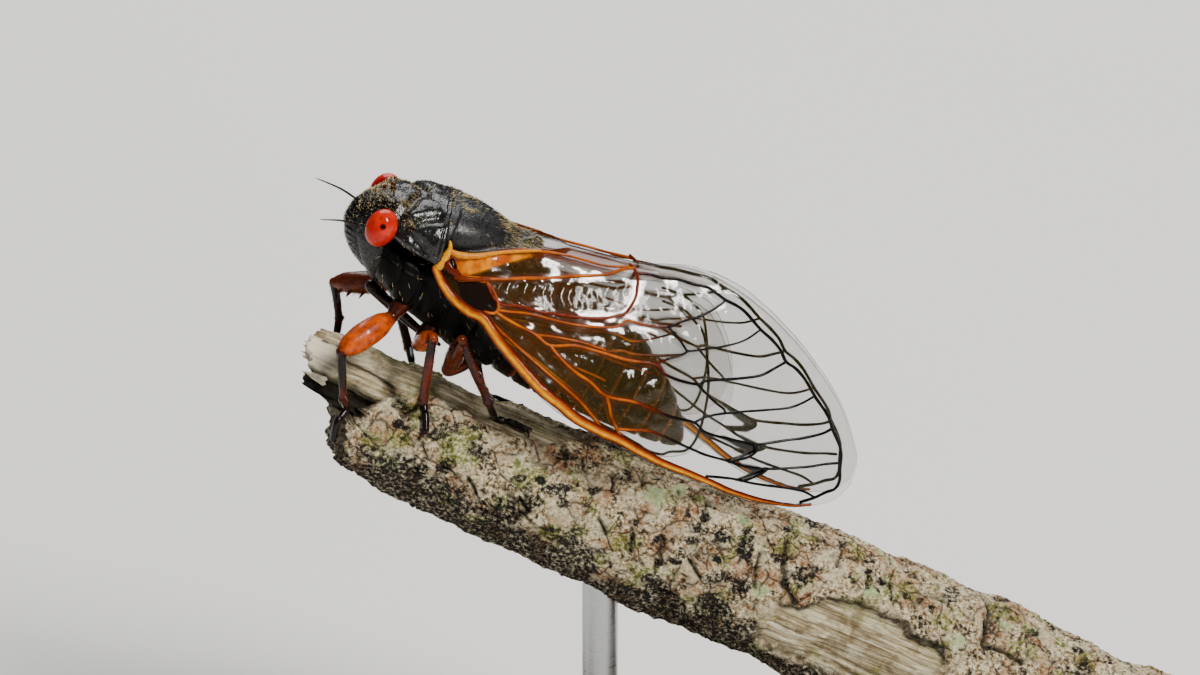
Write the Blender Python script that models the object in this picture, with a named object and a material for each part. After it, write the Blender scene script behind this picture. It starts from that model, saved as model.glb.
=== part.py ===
"""Cicada at rest on a broken stick, life size, held by a plain display stand.

Sizes are in millimetres until an object is made.
Insect frame: x towards the tail, y to its right, z to its back.
World frame: +X towards the tail, -Y to the insect's left, +Z up, origin under the base.
"""
import math

import bmesh
import bpy
from mathutils import Vector, geometry

MM = 0.001
GAP = 0.3

# Display stand
BASE_LENGTH = 84.0
BASE_WIDTH = 44.0
BASE_HEIGHT = 5.0
BASE_CORNER = 5.0
BASE_BEVEL = 0.8
ROD_RADIUS = 1.4
ROD_SIDES = 16
ROD_PLACES = {"front": -11.0, "rear": 16.0}

# Stick that the insect grips: its left end is broken, its right end is cut square
STICK_AT = (-33.9, 44.2)
STICK_SLOPE = math.radians(24.7)
STICK_LENGTH = 75.2
STICK_GIRTH = [(0.0, 5.0), (6.0, 4.95), (13.0, 5.2), (21.0, 5.4), (33.0, 5.55), (42.0, 5.9), (52.0, 5.8),
               (62.0, 5.4), (76.0, 5.0)]
STICK_SAG = [(7.0, 0.0), (22.0, 0.45), (38.0, 0.45), (50.0, 0.2), (60.0, 0.0)]
BARK_THICKNESS = 0.55
BARE_END = 22.5
BARE_TOP_HALF = [(1.0, 120.0), (4.0, 70.0), (6.0, 47.0), (9.0, 32.0), (13.5, 39.0), (17.0, 32.0),
                 (20.0, 18.0), (22.5, 0.0)]
BARE_TOP_ANGLE = 92.0
BARE_EDGE = 10.0
SCAR_HALF = 14.0
SCAR_ANGLE = 14.0
SCAR_ENDS = (39.0, 53.0)
SCAR_DEPTH = 0.7
BREAK_LINE = [(-90.0, 4.6), (-60.0, 4.6), (-30.0, 4.2), (-12.0, 3.6), (4.0, 2.9), (12.0, 1.2), (22.0, -0.9),
              (50.0, -1.0), (72.0, -1.6), (90.0, -1.2), (110.0, -0.9), (135.0, -0.4), (180.0, 0.8),
              (220.0, 2.8), (270.0, 4.6)]
STICK_STATIONS = 34
STICK_SIDES = 24
HOLLOW_FLOOR = 4.2
HOLLOW_RINGS = [(2.2, 0.42), (0.5, 0.62), (0.1, 0.86)]
CUT_EDGE = 0.93

# Insect: where its own frame sits, and how far the head is raised
INSECT_AT = (-21.0, 0.0, 53.8)
PITCH = math.radians(28.0)

# Head, eyes and beak
FACE = [(-4.35, -6.2), (-3.9, -6.9), (-3.5, -7.6), (-3.0, -8.4), (-2.1, -9.3), (-1.1, -9.9),
        (-0.1, -10.2), (1.3, -10.1), (2.2, -9.3), (2.8, -8.6), (3.2, -8.1)]
HEAD_WIDTH = [(-4.35, 0.6), (-3.8, 1.1), (-3.0, 1.65), (-2.1, 2.15), (-1.1, 2.6), (0.0, 2.85), (2.4, 2.9),
              (2.8, 2.75), (3.2, 2.4)]
HEAD_TOP = 3.4
HEAD_REAR = -7.9
HEAD_LEAN = 0.26
HEAD_LEVELS = [-4.3, -3.9, -3.5, -3.0, -2.5, -1.9, -1.2, -0.5, 0.2, 0.9, 1.5, 2.1, 2.55, 2.9, 3.1]
EYE_AT = (-8.0, 3.9, 1.1)
EYE_HALF = (1.15, 1.15, 1.5)
EYE_INNER = 3.2
ANTENNA_ROOT = (2.2, 0.1)
ANTENNA_TIPS = {"left": (-12.3, 3.5, -0.6), "right": (-13.2, 3.5, -0.25)}
ANTENNA_RADII = [0.42, 0.46, 0.44, 0.36, 0.3, 0.27, 0.26, 0.25, 0.22, 0.12]
BEAK = [(-5.6, 0.0, -5.1), (-3.5, 0.0, -5.7), (-1.2, 0.0, -6.35), (0.9, 0.0, -6.75)]
BEAK_RADII = [0.5, 0.42, 0.34, 0.25]

# Pronotum and mesonotum, the two shields of the back
PRONOTUM_TOP = [(0.0, 3.1), (0.3, 3.5), (0.6, 3.95), (1.0, 4.35)]
PRONOTUM_WIDTH = [(0.0, 3.1), (0.12, 3.5), (0.4, 4.4), (0.75, 4.6), (1.0, 4.75)]
PRONOTUM_FLOOR = 0.8
PRONOTUM_REAR = -3.95
PRONOTUM_REAR_LEAN = 0.2
SHIELD_CREST = 4.4
MESONOTUM_FRONT = -3.6
MESONOTUM_TOP = [(-3.6, 4.45), (-2.6, 4.65), (-1.05, 4.75), (0.8, 4.55), (2.2, 4.35), (3.8, 4.2), (4.2, 3.9)]
MESONOTUM_WIDTH = [(-3.6, 4.1), (-2.0, 3.8), (0.0, 3.0), (1.4, 2.4), (2.6, 1.9), (3.6, 1.4), (4.2, 0.9)]
MESONOTUM_FLOOR = [(-3.6, 2.0), (4.2, 3.2)]
MESONOTUM_TAIL = 4.2

# Thorax below the shields, and abdomen
THORAX_FRONT = -6.9
THORAX_TAIL = 4.5
THORAX_STATIONS = [-6.9, -6.0, -5.0, -4.1, -3.35, -2.65, -1.9, -1.1, -0.2, 0.8, 1.8, 2.8, 3.7, 4.5]
THORAX_TOP = [(-7.5, 0.5), (-3.2, 0.5), (-2.75, 1.65), (4.5, 2.85)]
THORAX_BELLY = [(-6.9, -3.5), (-5.5, -4.2), (-2.5, -5.1), (1.2, -6.0), (4.5, -6.2)]
THORAX_WIDTH = [(-6.9, 3.2), (-5.5, 3.8), (-3.0, 3.9), (0.0, 4.0), (4.5, 4.0)]
ABDOMEN_START = 4.8
ABDOMEN_TAIL = 21.2
ABDOMEN_BACK = [(4.8, 3.1), (8.0, 2.9), (12.0, 2.0), (16.0, 0.2), (19.0, -2.0), (20.6, -3.7), (21.2, -4.7)]
ABDOMEN_BELLY = [(4.8, -6.2), (8.0, -6.5), (12.0, -6.4), (16.0, -6.2), (19.0, -6.0), (20.6, -5.7),
                 (21.2, -5.3)]
ABDOMEN_WIDTH = [(4.8, 4.0), (8.0, 4.3), (12.0, 4.1), (16.0, 3.2), (19.0, 2.0), (20.6, 1.0), (21.2, 0.4)]
ABDOMEN_RINGS = 9
RING_STEP = 0.16

# Wings: the fore wing's surface stands out sideways by WING_REACH below the line of its inner margin
WING_THICK = 0.5
WING_SPACING = 0.85
WING_REACH = 7.8
WING_DEPTH = 11.5
WING_INNER = 1.15
WING_ROOT_OUT = 3.15
WING_TAIL_IN = 0.72
WING_SHOULDER = 0.5
WING_BEND = 0.7
WING_FRONT = -3.0
INNER_LINE = [(-3.0, 1.4), (-2.0, 2.1), (-0.4, 3.0), (1.4, 3.8), (3.5, 4.5), (7.0, 5.4), (11.1, 6.3),
              (14.1, 7.4), (17.5, 8.3), (20.4, 8.0), (23.6, 7.1), (27.0, 5.5), (30.5, 3.4), (33.2, 0.8),
              (34.4, -1.5)]
RIDGE_HEIGHT = 0.26
RIDGE_HALF_WIDTH = 0.26
COSTA_HEIGHT = 0.3
COSTA_HALF_WIDTH = 0.42

# Fore wing: (x, z) places of the margin and of the junctions of its veins
# The costal margin runs beside COSTA
MARGIN_APEX = [(33.9, -3.4), (34.4, -2.0), (34.1, -0.4), (33.2, 0.9), (30.6, 3.4), (27.1, 5.5), (23.7, 7.0),
               (20.5, 7.9), (17.5, 8.3), (15.1, 8.0), (13.3, 7.3), (11.4, 6.4)]
MARGIN_INNER = [(8.9, 5.8), (5.5, 5.0), (3.6, 4.5), (1.4, 3.8), (-0.4, 3.0), (-2.1, 2.1), (-2.9, 1.4)]
COSTA = [(-2.3, 0.3), (-1.8, -0.4), (-0.7, -1.1), (0.6, -1.2), (2.1, -1.3), (4.0, -2.2), (7.1, -3.4),
         (10.1, -4.2), (14.2, -4.7), (17.5, -5.0), (20.6, -5.3), (23.9, -5.6), (27.5, -5.8), (30.9, -5.0),
         (32.4, -4.2)]
FORE_VEINS = {
    "anal": [(-1.4, 0.6), (0.9, 1.5), (5.1, 3.1), (8.2, 4.5), (10.1, 5.6)],
    "claval suture": [(2.3, 0.3), (5.6, 0.9), (8.9, 2.0), (11.5, 3.2)],
    "claval tip": [(11.5, 3.2), (12.0, 4.6), (11.4, 6.0)],
    "basal cell": [(-1.2, 0.4), (0.8, 1.2), (2.3, 0.3), (2.1, -0.7), (1.7, -1.2)],
    "cubitus": [(2.3, 0.3), (2.4, -0.3), (6.2, 0.6), (9.6, 1.6), (12.0, 3.0), (15.1, 4.0), (17.1, 5.5),
                (18.3, 7.3)],
    "media": [(2.4, -0.3), (5.0, -0.6), (7.4, -0.8), (11.2, 0.4), (15.4, 1.2), (19.3, 1.1), (22.1, 3.3),
              (24.9, 5.0)],
    "media lower": [(19.3, 1.1), (22.5, -0.2), (25.6, 1.6), (28.2, 3.3)],
    "upper apical": [(15.1, 4.0), (17.4, 3.0), (19.9, 4.6), (21.9, 6.4)],
    "cross upper": [(17.4, 3.0), (15.4, 1.2)],
    "radial sector": [(7.4, -0.8), (10.0, -1.7), (13.0, -2.2), (18.5, -1.8), (20.4, -1.7), (25.6, -1.8),
                      (28.0, -0.3), (30.7, 1.6)],
    "cross middle": [(22.5, -0.2), (20.4, -1.7)],
    "radius": [(13.0, -2.2), (15.0, -4.0), (17.3, -3.3), (22.6, -3.7), (27.5, -3.3), (32.4, -0.7)],
    "radius foot": [(15.0, -4.0), (15.5, -4.8)],
    "cross lower": [(25.6, -1.8), (24.5, -3.6)],
    "subcosta": [(22.5, -5.4), (26.0, -4.8), (32.3, -3.8)],
    "cross last": [(27.5, -3.3), (26.0, -4.8)],
    "ambient": [(11.4, 6.0), (13.1, 6.6), (16.7, 7.5), (19.4, 7.2), (23.0, 6.1), (25.8, 4.7), (29.3, 2.7),
                (32.2, 0.2), (33.1, -1.8), (32.4, -4.2)],
}

# Hind wing, under the fore wing
HIND_MARGIN = [(0.6, -0.6), (2.5, -1.3), (6.2, -2.0), (10.0, -2.7), (13.5, -4.1), (16.2, -4.3), (18.4, -4.9),
               (20.1, -4.9), (22.1, -3.7), (23.0, -1.7), (22.7, 0.9), (21.5, 3.0), (19.4, 5.2), (17.4, 6.3),
               (14.1, 6.2), (11.1, 4.9), (8.0, 4.0), (5.0, 3.0), (2.6, 2.0), (0.8, 0.7)]
HIND_VEINS = {
    "costa": [(1.1, -0.2), (2.5, -0.9), (6.2, -1.6), (10.0, -2.3), (13.5, -3.6), (18.2, -4.3), (20.3, -4.1),
              (21.5, -2.6), (21.2, -0.8), (20.3, 1.4), (18.2, 4.7), (16.3, 5.7), (13.9, 5.4)],
    "radius": [(6.2, -1.6), (9.0, -0.8), (12.5, -0.8)],
    "media": [(1.1, -0.2), (5.0, 0.0), (10.0, 0.6), (13.6, 1.6), (18.1, 3.0)],
    "cubitus": [(10.0, 0.6), (13.1, 1.1), (17.4, 0.6), (21.0, 0.4)],
}

# Legs. Hip, knee and ankle are (x, outward y, z); toes are (station, angle) on the stick
LEGS = {
    "front_left": {"side": -1, "root": (-4.6, 140), "hip": (-3.9, 3.3, -5.2), "knee": (-6.4, 6.0, -8.5),
                   "ankle": (-4.4, 5.6, -12.1), "toes": [(3.9, 14), (3.6, 3), (3.6, -11)],
                   "femur": 0.93, "tibia": 0.36},
    "front_right": {"side": 1, "root": (-4.6, 140), "hip": (-4.1, 3.3, -5.1), "knee": (-7.85, 5.0, -7.8),
                    "ankle": (-6.2, 4.8, -10.2), "toes": [(1.2, 138), (1.5, 150), (2.0, 166)],
                    "femur": 0.9, "tibia": 0.36},
    "middle_left": {"side": -1, "root": (-1.5, 150), "hip": (-1.1, 3.7, -6.1), "knee": (-0.9, 6.8, -4.0),
                    "ankle": (1.0, 5.5, -9.3), "toes": [(9.0, 50), (9.6, 38), (10.0, 26)],
                    "femur": 0.78, "tibia": 0.42},
    "middle_right": {"side": 1, "root": (-1.5, 150), "hip": (-1.6, 3.7, -6.3), "knee": (-3.9, 6.5, -6.1),
                     "ankle": (-0.1, 6.0, -10.3), "toes": [(7.6, 142), (8.2, 153), (8.8, 165)],
                     "femur": 0.78, "tibia": 0.42},
    "hind_left": {"side": -1, "root": (2.5, 152), "hip": (1.9, 3.7, -6.9), "knee": (1.2, 6.3, -3.3),
                  "ankle": (5.7, 4.1, -7.6), "toes": [(14.4, 68), (15.6, 70), (16.8, 68)],
                  "femur": 0.72, "tibia": 0.42},
    "hind_right": {"side": 1, "root": (2.5, 152), "hip": (1.9, 3.7, -6.9), "knee": (1.4, 6.3, -3.5),
                   "ankle": (5.0, 4.9, -8.5), "toes": [(13.6, 126), (14.8, 130), (16.0, 129)],
                   "femur": 0.72, "tibia": 0.42},
}
COXA_RADII = (0.52, 0.55, 0.48)
COXA_REACH = 0.55
KNEE_RADIUS = 0.5
LIMB_END_RADIUS = 0.3
SHIN_BOW = 0.15
SHIN_START = 0.55
TARSUS_RADIUS = 0.31
TARSUS_LIFT = 0.67
ANKLE_OFFSET = 0.12
CLAW_LENGTH = 0.75
CLAW_RADIUS = 0.17
CLAW_SPLAY = 0.75
CLAW_SINK = 0.15
THORN_PLACES = [(0.42, 0.95), (0.66, 0.76), (0.84, 0.62)]
THORN_RADIUS = 0.24
SPUR_PLACES = (0.45, 0.68, 0.9)
SPUR_LENGTH = 0.62
SPUR_RADIUS = 0.17
LIMB_SIDES = 8


def ease(amount):
    """Smooth step from 0 to 1."""
    amount = min(1.0, max(0.0, amount))
    return amount * amount * (3.0 - 2.0 * amount)


def curve(table, place):
    """Value of a smooth curve through (place, value) pairs."""
    if place <= table[0][0]:
        return table[0][1]
    if place >= table[-1][0]:
        return table[-1][1]
    index = max(i for i in range(len(table) - 1) if table[i][0] <= place)
    (x0, y0), (x1, y1) = table[index], table[index + 1]
    span = x1 - x0
    before = table[index - 1] if index > 0 else table[0]
    after = table[index + 2] if index + 2 < len(table) else table[-1]
    slope0 = (y1 - before[1]) / (x1 - before[0])
    slope1 = (after[1] - y0) / (after[0] - x0)
    t = (place - x0) / span
    rise = (2 * t ** 3 - 3 * t ** 2 + 1) * y0 + (3 * t ** 2 - 2 * t ** 3) * y1
    return rise + span * ((t ** 3 - 2 * t ** 2 + t) * slope0 + (t ** 3 - t ** 2) * slope1)


def straight(table, place):
    """Value of a line of straight pieces through (place, value) pairs."""
    if place <= table[0][0]:
        return table[0][1]
    for (x0, y0), (x1, y1) in zip(table, table[1:]):
        if place <= x1:
            return y0 + (y1 - y0) * (place - x0) / (x1 - x0)
    return table[-1][1]


def power(value, exponent):
    """Power that keeps the sign."""
    return math.copysign(abs(value) ** exponent, value)


def to_insect(point):
    """World place in the insect's own frame."""
    dx = point[0] - INSECT_AT[0]
    dz = point[2] - INSECT_AT[2]
    x = dx * math.cos(PITCH) - dz * math.sin(PITCH)
    z = dx * math.sin(PITCH) + dz * math.cos(PITCH)
    return Vector((x, point[1] - INSECT_AT[1], z))


def make_material(name, color, roughness, metallic=0.0, alpha=1.0):
    """Plain surface."""
    material = bpy.data.materials.new(name)
    material.use_nodes = True
    surface = material.node_tree.nodes["Principled BSDF"]
    surface.inputs["Base Color"].default_value = (*color, 1.0)
    surface.inputs["Roughness"].default_value = roughness
    surface.inputs["Metallic"].default_value = metallic
    surface.inputs["Alpha"].default_value = alpha
    return material


def make_object(name, points, faces, material, parent=None):
    """One closed piece, its points given in millimetres in its parent's frame."""
    mesh = bpy.data.meshes.new(name)
    mesh.from_pydata([[value * MM for value in point] for point in points], [], faces)
    mesh.validate()
    piece = bmesh.new()
    piece.from_mesh(mesh)
    bmesh.ops.recalc_face_normals(piece, faces=piece.faces)
    piece.to_mesh(mesh)
    piece.free()
    mesh.materials.append(material)
    made = bpy.data.objects.new(name, mesh)
    bpy.context.collection.objects.link(made)
    made.parent = parent
    return made


def loft(rings, start=None, end=None):
    """Points and faces of a closed body through rings of equal count, each end closed by a fan."""
    count = len(rings[0])
    points = [tuple(point) for ring in rings for point in ring]
    faces = []
    for row in range(len(rings) - 1):
        for step in range(count):
            a = row * count + step
            b = row * count + (step + 1) % count
            faces.append((a, b, b + count, a + count))
    for ring, center in ((0, start), (len(rings) - 1, end)):
        if center is None:
            center = sum((Vector(point) for point in rings[ring]), Vector()) / count
        points.append(tuple(center))
        hub = len(points) - 1
        for step in range(count):
            faces.append((ring * count + step, ring * count + (step + 1) % count, hub))
    return points, faces


def smooth_path(corners, steps):
    """Points along a curve through the corners, with that many steps between two of them."""
    places = [Vector(corner) for corner in corners]
    route = []
    for index in range(len(places) - 1):
        before = places[max(index - 1, 0)]
        after = places[min(index + 2, len(places) - 1)]
        p, q = places[index], places[index + 1]
        for step in range(steps):
            t = step / steps
            lead = (q - before) * 0.5
            trail = (after - p) * 0.5
            route.append(p * (2 * t ** 3 - 3 * t ** 2 + 1) + lead * (t ** 3 - 2 * t ** 2 + t)
                         + q * (3 * t ** 2 - 2 * t ** 3) + trail * (t ** 3 - t ** 2))
    route.append(places[-1])
    return route


def tube_rings(route, radii, sides):
    """Rings of a round limb along a route."""
    rings = []
    across = None
    for index, place in enumerate(route):
        ahead = route[min(index + 1, len(route) - 1)] - route[max(index - 1, 0)]
        ahead.normalize()
        if across is None:
            across = ahead.cross(Vector((0.3, 0.2, 1.0))).normalized()
        across = (across - ahead * across.dot(ahead)).normalized()
        other = ahead.cross(across)
        rings.append([place + (across * math.cos(turn) + other * math.sin(turn)) * radii[index]
                      for turn in (2 * math.pi * side / sides for side in range(sides))])
    return rings


def spread(values, count):
    """That many values evenly along a smooth curve through the given ones."""
    table = [(index / (len(values) - 1), value) for index, value in enumerate(values)]
    return [curve(table, index / (count - 1)) for index in range(count)]


def cone(foot, tip, radius, sides=6):
    """Points and faces of a spine."""
    foot = Vector(foot)
    tip = Vector(tip)
    ahead = (tip - foot).normalized()
    across = ahead.cross(Vector((0.2, 0.9, 0.4))).normalized()
    other = ahead.cross(across)
    points = [foot + (across * math.cos(turn) + other * math.sin(turn)) * radius
              for turn in (2 * math.pi * side / sides for side in range(sides))]
    points.append(tip)
    faces = [(side, (side + 1) % sides, sides) for side in range(sides)]
    faces.append(tuple(range(sides)))
    return points, faces


def join(body, pieces):
    """Fuse pieces into a body with one Boolean union and keep the largest closed surface."""
    group = bpy.data.collections.new(body.name + "_parts")
    bpy.context.scene.collection.children.link(group)
    for index, (points, faces) in enumerate(pieces):
        piece = make_object(f"{body.name}_part_{index}", points, faces, body.data.materials[0])
        bpy.context.collection.objects.unlink(piece)
        group.objects.link(piece)
        piece.matrix_world = body.matrix_world
    union = body.modifiers.new("union", "BOOLEAN")
    union.operation = "UNION"
    union.operand_type = "COLLECTION"
    union.collection = group
    union.solver = "EXACT"
    bpy.context.view_layer.update()
    joined = bpy.data.meshes.new_from_object(body.evaluated_get(bpy.context.evaluated_depsgraph_get()))
    body.modifiers.remove(union)
    body.data = joined
    for piece in list(group.objects):
        bpy.data.objects.remove(piece)
    bpy.data.collections.remove(group)
    keep_largest(joined)


def keep_largest(mesh):
    """Leave only the connected surface with the most faces."""
    work = bmesh.new()
    work.from_mesh(mesh)
    bmesh.ops.remove_doubles(work, verts=work.verts, dist=2e-6)
    left = set(work.verts)
    groups = []
    while left:
        group = {left.pop()}
        edge = list(group)
        while edge:
            vert = edge.pop()
            for link in vert.link_edges:
                other = link.other_vert(vert)
                if other in left:
                    left.remove(other)
                    group.add(other)
                    edge.append(other)
        groups.append(group)
    groups.sort(key=len)
    for group in groups[:-1]:
        bmesh.ops.delete(work, geom=list(group), context="VERTS")
    work.to_mesh(mesh)
    work.free()


# Stick

def bare_wood(station, angle):
    """How bare the stick is, 1 where the bark is off: on top of the broken end and in one long scar below."""
    half = curve(BARE_TOP_HALF, station)
    top = ease((half - abs(angle - BARE_TOP_ANGLE)) / BARE_EDGE + 0.5) if station < BARE_END else 0.0
    scar_start, scar_end = SCAR_ENDS
    scar_half = SCAR_HALF * ease((station - scar_start) / 4.0) * ease((scar_end - station) / 4.0)
    scar = ease((scar_half - abs(angle - SCAR_ANGLE)) / BARE_EDGE + 0.3) if scar_half > 0.5 else 0.0
    return max(top, SCAR_DEPTH * scar)


def stick_radius(station, angle):
    """Radius of the stick; the angle is 0 towards the insect's left and 90 up."""
    turn = math.radians(angle)
    relief = 0.14 * math.sin(3 * turn + 0.35 * station + 0.6)
    relief += 0.10 * math.sin(5 * turn - 0.55 * station)
    relief += 0.10 * math.sin(2 * turn + 0.9 * station + 2.0)
    return curve(STICK_GIRTH, station) + relief - BARK_THICKNESS * bare_wood(station, angle)


def stick_break(angle):
    """Station at which the broken end starts, by angle."""
    return curve(BREAK_LINE, angle)


def stick_point(station, angle, lift=0.0):
    """World place on the stick's skin, or that far above it."""
    turn = math.radians(angle)
    radius = stick_radius(station, angle) + lift
    up = radius * math.sin(turn) - curve(STICK_SAG, station)
    x = STICK_AT[0] + station * math.cos(STICK_SLOPE) + up * math.sin(STICK_SLOPE)
    z = STICK_AT[1] - station * math.sin(STICK_SLOPE) + up * math.cos(STICK_SLOPE)
    return Vector((x, -radius * math.cos(turn), z))


def stick_underside(x, y):
    """Height of the stick's lower side above a place on the base."""
    radius = 5.0
    station = x - STICK_AT[0]
    for _ in range(16):
        drop = -math.sqrt(max(radius ** 2 - y ** 2, 0.01))
        up = drop - curve(STICK_SAG, station)
        station = (x - STICK_AT[0] - up * math.sin(STICK_SLOPE)) / math.cos(STICK_SLOPE)
        radius = stick_radius(station, math.degrees(math.atan2(drop, -y)))
    return STICK_AT[1] - station * math.sin(STICK_SLOPE) + up * math.cos(STICK_SLOPE)


def make_stick(material):
    """Stick with bark, a hollow broken end and a square cut end."""
    pin = bpy.data.objects.new("stick_frame", None)
    bpy.context.collection.objects.link(pin)
    pin.location = (STICK_AT[0] * MM, 0.0, STICK_AT[1] * MM)
    pin.rotation_euler = (0.0, STICK_SLOPE, 0.0)

    def at(station, angle, scale=1.0):
        turn = math.radians(angle)
        radius = stick_radius(max(station, 0.0), angle) * scale
        height = radius * math.sin(turn) - curve(STICK_SAG, station)
        return Vector((station, -radius * math.cos(turn), height))

    angles = [-90.0 + 360.0 * side / STICK_SIDES for side in range(STICK_SIDES)]
    rings = [[at(stick_break(a) + depth, a, size) for a in angles] for depth, size in HOLLOW_RINGS]
    for row in range(STICK_STATIONS + 1):
        share = row / STICK_STATIONS
        rings.append([at(stick_break(a) + share * (STICK_LENGTH - stick_break(a)), a) for a in angles])
    rings.append([at(STICK_LENGTH, a, CUT_EDGE) for a in angles])
    points, faces = loft(rings, start=Vector((HOLLOW_FLOOR, 0.0, 0.0)))
    return make_object("perch", points, faces, material, pin)


# Stand

def make_base(material):
    """Flat plate with round corners and a softened top edge."""
    plate = bmesh.new()
    bmesh.ops.create_cube(plate, size=1.0)
    bmesh.ops.scale(plate, vec=(BASE_LENGTH * MM, BASE_WIDTH * MM, BASE_HEIGHT * MM), verts=plate.verts)
    bmesh.ops.translate(plate, vec=(0.0, 0.0, BASE_HEIGHT * MM / 2), verts=plate.verts)
    upright = [e for e in plate.edges if abs(e.verts[0].co.z - e.verts[1].co.z) > MM]
    bmesh.ops.bevel(plate, geom=upright, offset=BASE_CORNER * MM, segments=6, affect="EDGES", profile=0.5)
    top = [e for e in plate.edges if min(v.co.z for v in e.verts) > BASE_HEIGHT * MM - 1e-6]
    bmesh.ops.bevel(plate, geom=top, offset=BASE_BEVEL * MM, segments=2, affect="EDGES", profile=0.5)
    mesh = bpy.data.meshes.new("stand_base")
    plate.to_mesh(mesh)
    plate.free()
    mesh.materials.append(material)
    base = bpy.data.objects.new("stand_base", mesh)
    bpy.context.collection.objects.link(base)
    return base


def make_rod(name, x, material):
    """Upright rod whose top follows the underside of the stick."""
    circle = [(ROD_RADIUS * math.cos(turn), ROD_RADIUS * math.sin(turn))
              for turn in (2 * math.pi * side / ROD_SIDES for side in range(ROD_SIDES))]
    foot = BASE_HEIGHT + GAP
    low = [(cx, cy, foot) for cx, cy in circle]
    high = [(cx, cy, stick_underside(x + cx, cy) - GAP) for cx, cy in circle]
    points, faces = loft([low, high], end=(0.0, 0.0, stick_underside(x, 0.0) - GAP))
    rod = make_object(name, points, faces, material)
    rod.location = (x * MM, 0.0, 0.0)
    return rod


# Wing surface, also used to keep the body clear of the wings

def wing_side(x, z):
    """Sideways distance of the fore wing's middle surface from the insect's middle plane."""
    inner = WING_INNER + WING_ROOT_OUT * (1.0 - ease((x + 2.8) / 9.0)) - WING_TAIL_IN * ease((x - 8.0) / 7.0)
    below = max(0.0, curve(INNER_LINE, x) - z)
    reach = WING_REACH * ease((x + 4.2) / 8.0) * (1.0 - 0.8 * ease((x - 9.0) / 24.0))
    start = (WING_SHOULDER / WING_DEPTH) ** WING_BEND
    return inner + reach * (((below + WING_SHOULDER) / WING_DEPTH) ** WING_BEND - start)


def wing_normal(x, z):
    """Outward direction of the fore wing's surface, for a wing on the +y side."""
    step = 0.05
    along = (wing_side(x + step, z) - wing_side(x - step, z)) / (2 * step)
    upward = (wing_side(x, z + step) - wing_side(x, z - step)) / (2 * step)
    return Vector((-along, 1.0, -upward)).normalized()


def body_limit(x, z, width, wings=2):
    """Half width that the body may have at a place without meeting one wing, or two."""
    if x < WING_FRONT:
        return width
    layers = WING_THICK / 2 + GAP
    if wings == 2:
        layers += (WING_SPACING - 0.05) * ease((x + 0.6) / 0.9)
    return min(width, wing_side(x, z) - layers / wing_normal(x, z).y)


# Head and thorax

def head_rear(z):
    """Rear plane of the head, which leans back towards the beak."""
    return HEAD_REAR + (HEAD_TOP - z) * HEAD_LEAN


def head_front(y, z):
    """Front of the head at a height and a distance from the middle."""
    share = min(abs(y) / curve(HEAD_WIDTH, z), 1.0)
    depth = head_rear(z) - curve(FACE, z)
    shape = 0.8 * math.sqrt(1.0 - share ** 3) + 0.2 * math.exp(-(share / 0.45) ** 2)
    return head_rear(z) - depth * shape


def make_head(material, insect):
    """Head capsule: level slices from the mouth to the crown, flat behind."""
    rings = []
    steps = 14
    for z in HEAD_LEVELS:
        width = curve(HEAD_WIDTH, z)
        ring = []
        for step in range(steps + 1):
            y = -width * math.cos(math.pi * step / steps)
            ring.append((head_front(y, z), y, z))
        for step in range(1, 6):
            y = width * math.cos(math.pi * step / 6)
            ring.append((head_rear(z), y, z))
        cheek = head_rear(z) - 0.15 * (head_rear(z) - curve(FACE, z))
        ring[0] = (cheek, -width, z)
        ring[steps] = (cheek, width, z)
        rings.append(ring)
    points, faces = loft(rings)
    return make_object("head", points, faces, material, insect)


def make_eye(name, side, material, insect):
    """Bulging eye, flat where it meets the head."""
    rings = []
    rows = 7
    inner = (EYE_INNER - EYE_AT[1]) / EYE_HALF[1]
    for row in range(rows):
        share = inner + (0.985 - inner) * math.sin(0.5 * math.pi * row / (rows - 1))
        size = math.sqrt(1.0 - share ** 2)
        y = side * (EYE_AT[1] + EYE_HALF[1] * share)
        half_x = EYE_HALF[0] * size
        half_z = EYE_HALF[2] * size
        rings.append([(EYE_AT[0] + half_x * math.cos(turn), y, EYE_AT[2] + half_z * math.sin(turn))
                      for turn in (2 * math.pi * step / 16 for step in range(16))])
    points, faces = loft(rings)
    return make_object(name, points, faces, material, insect)


def make_antenna(name, side, tip, material, insect):
    """Short feeler: a stout foot, then a bristle."""
    y, z = ANTENNA_ROOT
    root = Vector((head_front(y, z) - GAP - 0.15, side * y, z))
    end = Vector((tip[0], side * tip[1], tip[2]))
    corners = [root, root.lerp(end, 0.3), root.lerp(end, 0.65) + Vector((0.0, 0.0, 0.15)), end]
    route = smooth_path(corners, 3)
    points, faces = loft(tube_rings(route, ANTENNA_RADII, LIMB_SIDES))
    return make_object(name, points, faces, material, insect)


def make_beak(material, insect):
    """Straight beak folded back between the fore legs."""
    route = smooth_path(BEAK, 2)
    points, faces = loft(tube_rings(route, spread(BEAK_RADII, len(route)), 10))
    return make_object("beak", points, faces, material, insect)


def pronotum_rear(z):
    """Rear plane of the pronotum."""
    return PRONOTUM_REAR + (SHIELD_CREST - z) * PRONOTUM_REAR_LEAN


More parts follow.
